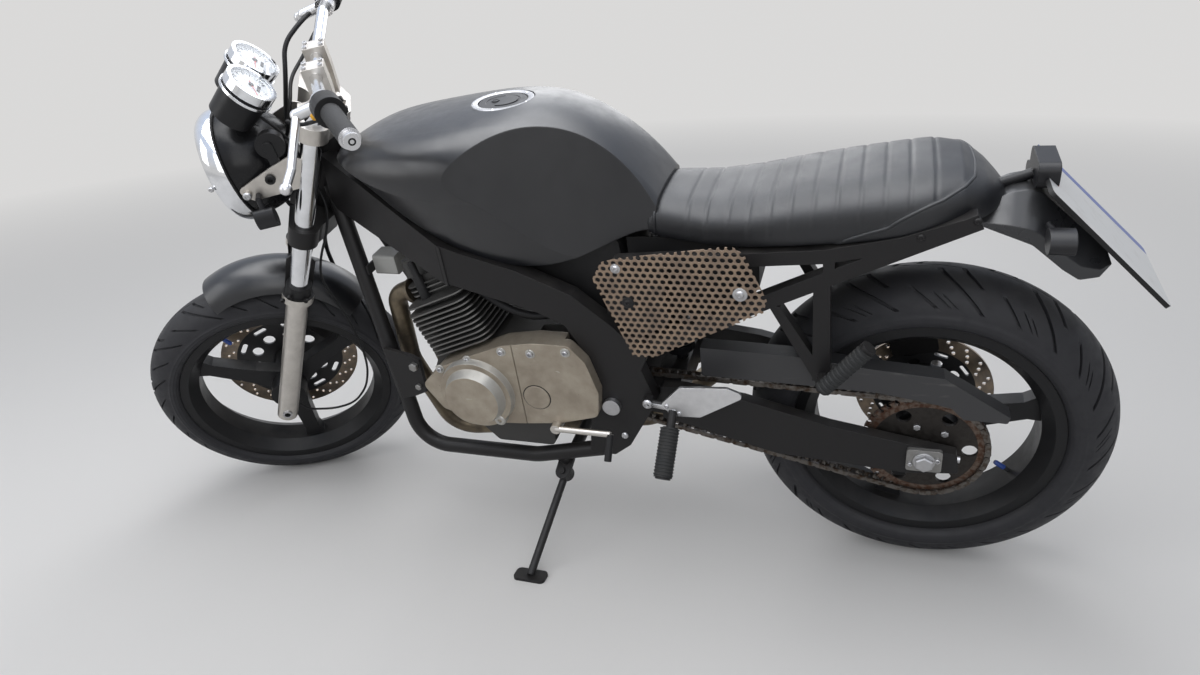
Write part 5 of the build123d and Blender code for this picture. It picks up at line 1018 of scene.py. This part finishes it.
make_piece("plug_cap", "frame", black_plastic, "black_plastic", plug_cap)

# Intake, hose and coil: dull cast carburettors before a black airbox, a thick breather hose, and the
# ignition coil with its pale case on a black cross plate
carburettor = bright_metal("carburettor", (0.20, 0.19, 0.18), 0.5, 0.15)
dress(black_plastic, "intake")
dress_faces(carburettor, "intake", face_middles("intake")[:, 0] > 0.7045)
dress(hose_rubber, "breather_hose")
dress(black_paint, "ignition_coil")
coil_case = Finish("coil_case", (0.34, 0.34, 0.325), 0.45)
coil_case.feed({"Roughness": coil_case.clouds(0.01, 4.0, 0.3, 0.7, 0.38, 0.56)})
coil_case.bump(coil_case.noise(0.003, 3.0), 0.00015, 0.0015)
coil_faces = face_middles("ignition_coil")
dress_faces(coil_case, "ignition_coil", (coil_faces[:, 1] > 0.0) & (coil_faces[:, 2] > 0.598)
            & (coil_faces[:, 0] < 1.0535) & (coil_faces[:, 1] < 0.0460))

# Exhaust: two headers browned by heat run down before the engine and back under it, to a brushed steel
# silencer on the right
header_steel = Finish("header_steel", (0.15, 0.125, 0.09), 0.42, metallic=0.85)
burnt = header_steel.clouds(0.05, 5.0, 0.35, 0.65)
olive = header_steel.blend(burnt, (0.19, 0.155, 0.105), (0.075, 0.062, 0.050))
header_steel.feed({"Base Color": olive, "Roughness": burnt * 0.25 + 0.34})
header_steel.bump(header_steel.noise(0.003, 4.0), 0.0001, 0.001)
dress(header_steel, "exhaust_pipes")
silencer_steel = bright_metal("silencer_steel", (0.42, 0.42, 0.43), 0.30, 0.14, 0.00003, 0.001, 0.04)
dress(silencer_steel, "silencer")

# Footrests and levers: bright heel plates on black arms, ribbed rubber pegs, and a silver-grey shifter
# with a black toe rubber
dress(black_paint, "footrests")
dress(aluminium, "foot_levers")
rest = face_middles("footrests")
PLATE_Y = 0.161
plate = (np.abs(np.abs(rest[:, 1]) - PLATE_Y) < 0.0036) & (rest[:, 2] > 0.392)
plate &= (rest[:, 0] < 0.456) & (rest[:, 0] > 0.290)
heel_plate = bright_metal("heel_plate", (0.72, 0.72, 0.73), 0.30, 0.12)
dress_faces(heel_plate, "footrests", plate)
toe = face_middles("foot_levers")
dress_faces(hose_rubber, "foot_levers", (toe[:, 2] < 0.343) & (toe[:, 0] < 0.562) & (toe[:, 1] > 0.184))
peg_rubber = satin_black("peg_rubber", (0.026, 0.027, 0.028), 0.62, 0.0002, 0.0, 0.6)
RIB_DEEP = 0.0007


def ribbed(length, radius, ribs):
    """Outline of a rubber sleeve with rings all along it: a square wave on the radius."""
    steps = np.linspace(0, length, ribs * 6 + 1)
    rings = radius + RIB_DEEP * np.sign(np.sin(steps / length * ribs * 2 * pi + 0.01))
    return np.concatenate([[(0, 0)], np.stack([steps, rings], -1), [(length, 0)]])


# columns: root and tip on the left, radius, ribs
SLEEVES = (
    ((0.4325, 0.182, 0.3790), (0.436, 0.2455, 0.3184), 0.0170, 15),
    ((0.1690, 0.163, 0.4800), (0.1040, 0.1640, 0.5610), 0.0136, 12),
)
for word, hand in SIDES:
    sleeves = []
    for root, tip, radius, ribs in SLEEVES:
        start, end = np.array((root, tip)) * (1, hand, 1)
        sleeves.append(spun(ribbed(np.linalg.norm(end - start), radius, ribs), start, end - start, 24))
    make_piece(word + "_peg_rubbers", "frame", peg_rubber, "grip_rubber", *sleeves)

# Fuel tank: pressed steel in satin black with a cool sheen, dusty on top, and a filler cap let into it: a
# pale ring with small screws round a darker disc with a lock flap
dress(tank_paint, "fuel_tank")
filler_ring = bright_metal("filler_ring", (0.46, 0.46, 0.47), 0.36, 0.12)
filler_disc = satin_black("filler_disc", (0.055, 0.056, 0.060), 0.34, 0.00004, 0.0008, 0.3)
CAP_AT = np.array((0.727, 0, 0.918))
ring_form = spun(((0, 0.0445), (0, 0.056), (0.0076, 0.056), (0.0090, 0.0548), (0.0090, 0.0462),
                  (0.0080, 0.0445), (0, 0.0445)), CAP_AT, (0, 0, 1), 72)
disc_form = spun(((0, 0), (0, 0.0435), (0.0066, 0.0435), (0.0078, 0.0420), (0.0078, 0.0310),
                  (0.0068, 0.0300), (0.0068, 0)), CAP_AT, (0, 0, 1), 72)
SCREWS_R = 0.0505
screw_turn = np.radians(np.arange(5) * 72 + 20)
screws = [(CAP_AT[0] + SCREWS_R * cos(turn), SCREWS_R * sin(turn), 0.9266, 0.0032, "button")
          for turn in screw_turn]
cap = make_piece("filler_ring", "frame", filler_ring, "filler_chrome", ring_form, *heads(screws, (0, 0, 1)))
FLAP_R = 0.027
flap_turn = np.linspace(radians(-100), radians(100), 24)
flap = prism(FLAP_R * np.stack([np.cos(flap_turn), np.sin(flap_turn)], -1), low=0.0066, high=0.0086)
flap = repeated(flap, CAP_AT[None], *(np.array([axis]) for axis in ((-1, 0, 0), (0, 0, 1), (0, 1, 0))))
lock = spun(((0.0060, 0), (0.0060, 0.0072), (0.0088, 0.0072), (0.0088, 0.0052), (0.0080, 0.0048),
             (0.0080, 0)), CAP_AT + (0.014, 0, 0), (0, 0, 1))
make_piece("filler_disc", "frame", filler_disc, "filler_chrome", disc_form, flap, lock)
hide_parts("filler_cap")

# Seat: a foam saddle covered in black vinyl, sewn across in narrow channels, with piping round its nose
# and round the smooth hump behind. It lies on the subframe's upper rails and ends close behind the tank.
SEAT_FRONT = 0.462
SEAT_REAR = -0.080
SEAT_STATIONS = 190
SEAT_AROUND = 96
SEAT_MIDDLE = (0.19, 0, 0.765)
REAR_PIPING_R = 0.0030
FRONT_PIPING_R = 0.0028
CHANNELS = np.array((0.393, 0.362, 0.325, 0.292, 0.259, 0.227, 0.193, 0.158, 0.124, 0.090, 0.055, 0.020))
CHANNEL_DEEP = 0.0019
CHANNEL_WIDE = 0.0023
HUMP_RAISED = 0.002
SEAT_VINYL = (0.0085, 0.0092, 0.0115)
SEAT_PRESSURE = 4.0
SEAT_FRAMES = 20
SEAT_CAP = 0.0020
REAR_ROUND_X = 0.075
NOSE_ROUND_X = 0.44
SQUARE_TOP = 2 / 3.1
SQUARE_SIDE = 2 / 6
TURNED_UNDER = 0.15
# columns: x, height of the top, height of the underside, half width
SEAT_SHAPE = np.array((
    (-0.080, 0.772, 0.757, 0.112),
    (-0.050, 0.800, 0.753, 0.119),
    (-0.018, 0.821, 0.752, 0.125),
    (0.024, 0.824, 0.748, 0.128),
    (0.088, 0.816, 0.737, 0.129),
    (0.154, 0.807, 0.727, 0.128),
    (0.223, 0.795, 0.720, 0.127),
    (0.294, 0.781, 0.715, 0.124),
    (0.364, 0.774, 0.714, 0.114),
    (0.440, 0.778, 0.718, 0.098),
    (0.462, 0.772, 0.724, 0.093),
))


def seat_surface(x, turn):
    """The seat's skin at stations x along the bike, turned from the left underside (0) over the top to
    the right underside (1). A section is a superellipse between the heights and the width that the table
    gives, squarer below than above, and it closes to a rounded end in plan at the rear."""
    top, low, half = (np.interp(x, SEAT_SHAPE[:, 0], SEAT_SHAPE[:, k]) for k in (1, 2, 3))
    behind = np.clip((REAR_ROUND_X - x) / (REAR_ROUND_X - SEAT_REAR), 0, 1)
    half = half * np.sqrt(np.clip(1 - behind ** 2.6, 0, 1))
    ahead = np.clip((x - NOSE_ROUND_X) / (SEAT_FRONT - NOSE_ROUND_X), 0, 1)
    middle = low + (top - low) * 0.25
    rise, drop = (top - middle) * (1 - 0.35 * ahead ** 3), middle - low
    angle = pi * ((1 + 2 * TURNED_UNDER) * turn - TURNED_UNDER)
    across, up = np.cos(angle), np.sin(angle)
    y = half * np.sign(across) * np.abs(across) ** np.where(up > 0, SQUARE_TOP, SQUARE_SIDE)
    below = drop * np.abs(up / sin(TURNED_UNDER * pi))
    z = middle + np.where(up > 0, rise * np.abs(up) ** SQUARE_TOP, -below)
    return np.stack([x + 0 * z, y, z], -1)


def rear_seam(turn):
    """Where along the bike the rear piping crosses the skin at each turn: far forward at the underside,
    and round the hump behind the last channel over the top."""
    sideways = np.abs(turn - 0.5) * 2
    return np.interp(sideways, (0, 0.25, 0.45, 0.60, 0.72, 0.82, 0.92, 1.0),
                     (-0.036, -0.032, -0.018, 0.012, 0.058, 0.104, 0.140, 0.156))


def swollen(skin, normal, held):
    """The skin after it is filled: a cloth simulation under pressure from inside, held where the mask is
    1. No point moves by more than the cap."""
    points, faces = joined_up(skin, wrap_columns=True)
    if np.sum(np.cross(skin[1, 0] - skin[0, 0], skin[0, 1] - skin[0, 0]) * normal[0, 0]) < 0:
        faces = faces[:, ::-1]
    mesh = bpy.data.meshes.new("seat_filling")
    mesh.from_pydata(points.tolist(), [], faces.tolist())
    filling = bpy.data.objects.new("seat_filling", mesh)
    bpy.context.scene.collection.objects.link(filling)
    group = filling.vertex_groups.new(name="held")
    group.add(np.flatnonzero(held.ravel() > 0.5).tolist(), 1.0, "REPLACE")
    cloth = filling.modifiers.new("filling", "CLOTH")
    cloth.settings.use_pressure = True
    cloth.settings.uniform_pressure_force = SEAT_PRESSURE
    cloth.settings.vertex_group_mass = "held"
    cloth.settings.effector_weights.gravity = 0
    cloth.settings.quality = 5
    cloth.point_cache.frame_end = SEAT_FRAMES
    for step in range(1, SEAT_FRAMES + 1):
        bpy.context.scene.frame_set(step)
    evaluated = filling.evaluated_get(bpy.context.evaluated_depsgraph_get()).data
    flat = np.zeros(len(evaluated.vertices) * 3, np.float32)
    evaluated.vertices.foreach_get("co", flat)
    bpy.data.objects.remove(filling)
    bpy.context.scene.frame_set(1)
    moved = flat.reshape(skin.shape) - skin
    far = np.linalg.norm(moved, axis=-1, keepdims=True)
    print("seat filling moves at most", far.max())
    return skin + moved * np.minimum(1, SEAT_CAP / (far + 1e-9))


stations = np.linspace(SEAT_REAR, SEAT_FRONT, SEAT_STATIONS)
rounded = SEAT_REAR + 0.045 * (1 - np.cos(np.linspace(0, pi / 2, 24)))
stations = np.concatenate([rounded, stations[stations > SEAT_REAR + 0.046]])
turns = np.linspace(0, 1, SEAT_AROUND)
skin = seat_surface(stations[:, None], turns[None, :])
normal = np.cross(np.gradient(skin, axis=0), np.gradient(skin, axis=1))
normal /= np.linalg.norm(normal, axis=-1, keepdims=True) + 1e-12
normal *= np.sign((normal * (skin - SEAT_MIDDLE)).sum(-1, keepdims=True).mean())
nearest = np.abs(stations[:, None] - CHANNELS[None, :]).min(1)
above_seam = np.clip((stations[:, None] - rear_seam(turns)[None, :]) / 0.006, 0, 1)
sewn = np.clip(1.25 - np.abs(turns - 0.5) * 2 * 1.45, 0, 1)[None, :] * above_seam
sewn = np.clip(sewn * 4, 0, 1)
valley = np.exp(-(nearest / CHANNEL_WIDE) ** 1.4)[:, None] * sewn
held = np.where((valley > 0.45) | (np.abs(turns - 0.5)[None, :] > 0.40), 1.0, 0.0)
held = np.maximum(held, np.abs(stations[:, None] - rear_seam(turns)[None, :]) < 0.004)
held[:3] = held[-3:] = 1.0
skin = swollen(skin, normal, held)
skin = skin - normal * CHANNEL_DEEP * valley[..., None]
skin = skin + normal * HUMP_RAISED * (1 - above_seam)[..., None]
vinyl = Finish("seat_vinyl", SEAT_VINYL, 0.36, ior=1.5)
grain = vinyl.node("ShaderNodeTexVoronoi", {"feature": "DISTANCE_TO_EDGE"},
                   {"Vector": vinyl.place(), "Scale": 750}, "Distance")
vinyl.bump(vinyl.between(grain, 0.0, 0.25) + vinyl.noise(0.03, 2.0) * 0.5, 0.00010)
dusty(vinyl, SEAT_VINYL, (0.075, 0.078, 0.085), 0.14, 0.09)
vinyl.feed({"Roughness": vinyl.clouds(0.05, 4.0, 0.3, 0.7, 0.30, 0.44)})
cover = joined_up(closed(skin), wrap_columns=True)
seat = make_piece("seat_cover", "frame", vinyl, "seat_vinyl", cover, edges=180)
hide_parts("seat")
PIPING_X = 0.450
seam_turns = np.linspace(0.02, 0.98, 160)
rear_piping = seat_surface(rear_seam(seam_turns), seam_turns)
front_piping = seat_surface(np.full(90, PIPING_X), np.linspace(0.02, 0.98, 90))
make_piece("seat_piping", "frame", vinyl, "seat_vinyl", pipe(rear_piping, REAR_PIPING_R),
           pipe(front_piping, FRONT_PIPING_R), edges=180)

# Side panels: sheet perforated with round holes in staggered rows, brushed with bronze paint, and held
# off the frame by screws with wide washers. A black electrics box is behind the left one, under the seat.
HOLE_PITCH = 0.0124
HOLE_R = 0.0045
PANEL_Y = 0.165
PANEL_T = 0.002
FIRST_HOLE = (0.245, 0.510)
HOLE_COLUMNS, HOLE_ROWS = 28, 24
PEG_R = 0.006
PANEL_CORNERS = np.array(((0.546, 0.672), (0.528, 0.704), (0.500, 0.712), (0.332, 0.736), (0.310, 0.738),
                          (0.292, 0.726), (0.258, 0.644), (0.264, 0.622), (0.452, 0.522), (0.490, 0.520)))


def perforated_sheet():
    """Six-sided cells in staggered rows, each a ring of faces from its own edge in to a round hole."""
    turn = np.radians(np.arange(0, 360, 30))
    way = np.stack([np.cos(turn), 0 * turn, np.sin(turn)], -1)
    reach = HOLE_PITCH / 2 / np.cos(np.radians((np.arange(12) % 2) * 30))
    ring = np.stack([reach[:, None] * way, HOLE_R * way])
    column, row = np.meshgrid(np.arange(HOLE_COLUMNS), np.arange(HOLE_ROWS))
    x = FIRST_HOLE[0] + (column + (row % 2) / 2) * HOLE_PITCH
    z = FIRST_HOLE[1] + row * HOLE_PITCH * cos(radians(30))
    at = np.stack([x.ravel(), np.zeros(x.size), z.ravel()], -1)
    axes = np.broadcast_to(np.eye(3)[:, None], (3, len(at), 3))
    return repeated(joined_up(ring, wrap_columns=True), at, *axes)


bronze = Finish("mesh_bronze", (0.24, 0.19, 0.145), 0.55, metallic=0.35)
patch = bronze.clouds(0.03, 5.0, 0.4, 0.7)
brushed = bronze.blend(patch, (0.275, 0.200, 0.142), (0.175, 0.130, 0.100))
bronze.feed({"Base Color": brushed, "Roughness": 0.48 + patch * 0.25})
bronze.bump(bronze.noise(0.002, 3.0), 0.0001)
# columns: outer end, inner end, on the left
PANEL_PEGS = (
    ((0.503, 0.166, 0.6938), (0.505, 0.126, 0.680)),
    ((0.2998, 0.166, 0.6545), (0.290, 0.122, 0.622)),
)
# columns: x, y on the left, z, radius, form
PANEL_BOLTS = (
    (0.503, 0.1665, 0.6938, 0.0085, "washer"),
    (0.503, 0.1670, 0.6938, 0.0058, "button"),
    (0.2998, 0.1665, 0.6545, 0.0120, "washer"),
    (0.2998, 0.1675, 0.6545, 0.0070, "button"),
)
DARK_BOLT = ((0.4878, 0.1665, 0.6299, 0.0105, "washer"), (0.4878, 0.1670, 0.6299, 0.0060, "button"))
BOX_OUTLINE = np.array(((0.440, 0.552), (0.500, 0.532), (0.548, 0.530), (0.545, 0.600), (0.505, 0.668),
                        (0.436, 0.672)))
for word, hand in SIDES:
    points, faces = perforated_sheet()
    points = points + (0, hand * PANEL_Y, 0)
    panel = make_piece(word + "_mesh_panel", "frame", bronze, "mesh_bronze", (points, faces), smooth=False)
    form = bmesh.new()
    form.from_mesh(panel.data)
    for start, end in zip(PANEL_CORNERS, np.roll(PANEL_CORNERS, -1, 0)):
        corner = on_bike((start[0], 0, start[1]))
        outward = (end[1] - start[1]) * forward - (end[0] - start[0]) * upward
        bmesh.ops.bisect_plane(form, geom=[*form.verts, *form.edges, *form.faces], clear_outer=True,
                               plane_co=tuple(corner), plane_no=tuple(outward))
    form.to_mesh(panel.data)
    form.free()
    thick = panel.modifiers.new("thickness", "SOLIDIFY")
    thick.thickness = PANEL_T
    thick.offset = 0
    if hand > 0:
        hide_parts("side_panels")
    pegs = []
    for outer, inner in PANEL_PEGS:
        start, end = np.array((outer, inner)) * (1, hand, 1)
        length = np.linalg.norm(end - start)
        pegs.append(spun(((0, 0), (0, PEG_R), (length, PEG_R), (length, 0)), start, end - start, 16))
    make_piece(word + "_panel_pegs", "frame", black_paint, "black_paint", *pegs)
heads_both_sides("_panel_bolts", "frame", zinc, "axle_steel", PANEL_BOLTS)
heads_both_sides("_panel_dark_bolt", "frame", black_paint, "black_paint", DARK_BOLT)
electrics_box = prism(BOX_OUTLINE, low=0.070, high=0.118)
make_piece("electrics_box", "frame", black_plastic, "black_plastic", electrics_box)

# Tail: a black undertray with the number plate on its board, a red lamp, and smoked indicators. The plate
# is left blank, white with a blue band at its far edge.
dress(black_plastic, "battery_box")
tail_plastic = satin_black("tail_plastic", (0.022, 0.023, 0.026), 0.30, 0.00006, 0.003, 0.3)
tail_plastic.feed({"Specular IOR Level": 0.6})
TRAY_HALF = 0.07
TRAY_INSET = 0.034
TRAY_KNEE = 0.32
TRAY_STATIONS = 48
# columns: x, height of the lower edge
TRAY_LOW = np.array(((-0.230, 0.676), (-0.218, 0.654), (-0.192, 0.648), (-0.168, 0.664), (-0.122, 0.704),
                     (-0.044, 0.736)))
# columns: x, height of the upper side
TRAY_TOP = np.array(((-0.230, 0.680), (-0.130, 0.774), (-0.110, 0.779), (-0.090, 0.775), (-0.044, 0.752)))
tray_x = np.linspace(-0.230, -0.044, TRAY_STATIONS)
tray_low = np.interp(tray_x, *TRAY_LOW.T)
tray_top = np.interp(tray_x, *TRAY_TOP.T)
tray_knee = tray_low + TRAY_KNEE * (tray_top - tray_low)
tray_rows = ((TRAY_HALF, tray_low), (TRAY_HALF, tray_knee), (TRAY_HALF - TRAY_INSET, tray_top),
             (TRAY_INSET - TRAY_HALF, tray_top), (-TRAY_HALF, tray_knee), (-TRAY_HALF, tray_low))
tray_form = np.stack([np.stack([tray_x, np.full(TRAY_STATIONS, y), z], -1) for y, z in tray_rows], 1)
tray = make_piece("tail_tray", "frame", tail_plastic, "black_plastic",
                  joined_up(closed(tray_form), wrap_columns=True), edges=25)
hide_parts("tail_fender")
PLATE_WHITE = (0.62, 0.63, 0.64)
plate_white = Finish("plate_white", PLATE_WHITE, 0.35)
blue_band = plate_white.along(rear_axle, left) < -0.070
grime = plate_white.clouds(0.03, 5.0, 0.55, 0.8) * 0.35
dirty = plate_white.blend(grime, PLATE_WHITE, (0.30, 0.28, 0.25))
plate_white.feed({"Base Color": plate_white.blend(blue_band, dirty, (0.02, 0.07, 0.34))})
plate_white.bump(plate_white.noise(0.004, 2.0), 0.00005, 0.001)
dress(black_plastic, "number_plate")
dress_faces(plate_white, "number_plate", face_headings("number_plate") @ (-sin(pi / 4), 0, cos(pi / 4)) > 0.9)
dress(smoked, "rear_lights")
red_lens = Finish("red_lens", (0.30, 0.008, 0.006), 0.16, coat_weight=0.5)
across_lens = red_lens.along(rear_axle, left) * 900
red_lens.bump(across_lens.maths("SINE", across_lens, 0), 0.0003, 0.002)
lamp_faces = face_middles("rear_lights")
dress_faces(red_lens, "rear_lights", (lamp_faces[:, 0] < -0.1475) & (np.abs(lamp_faces[:, 1]) < 0.046)
            & (lamp_faces[:, 2] > 0.779))
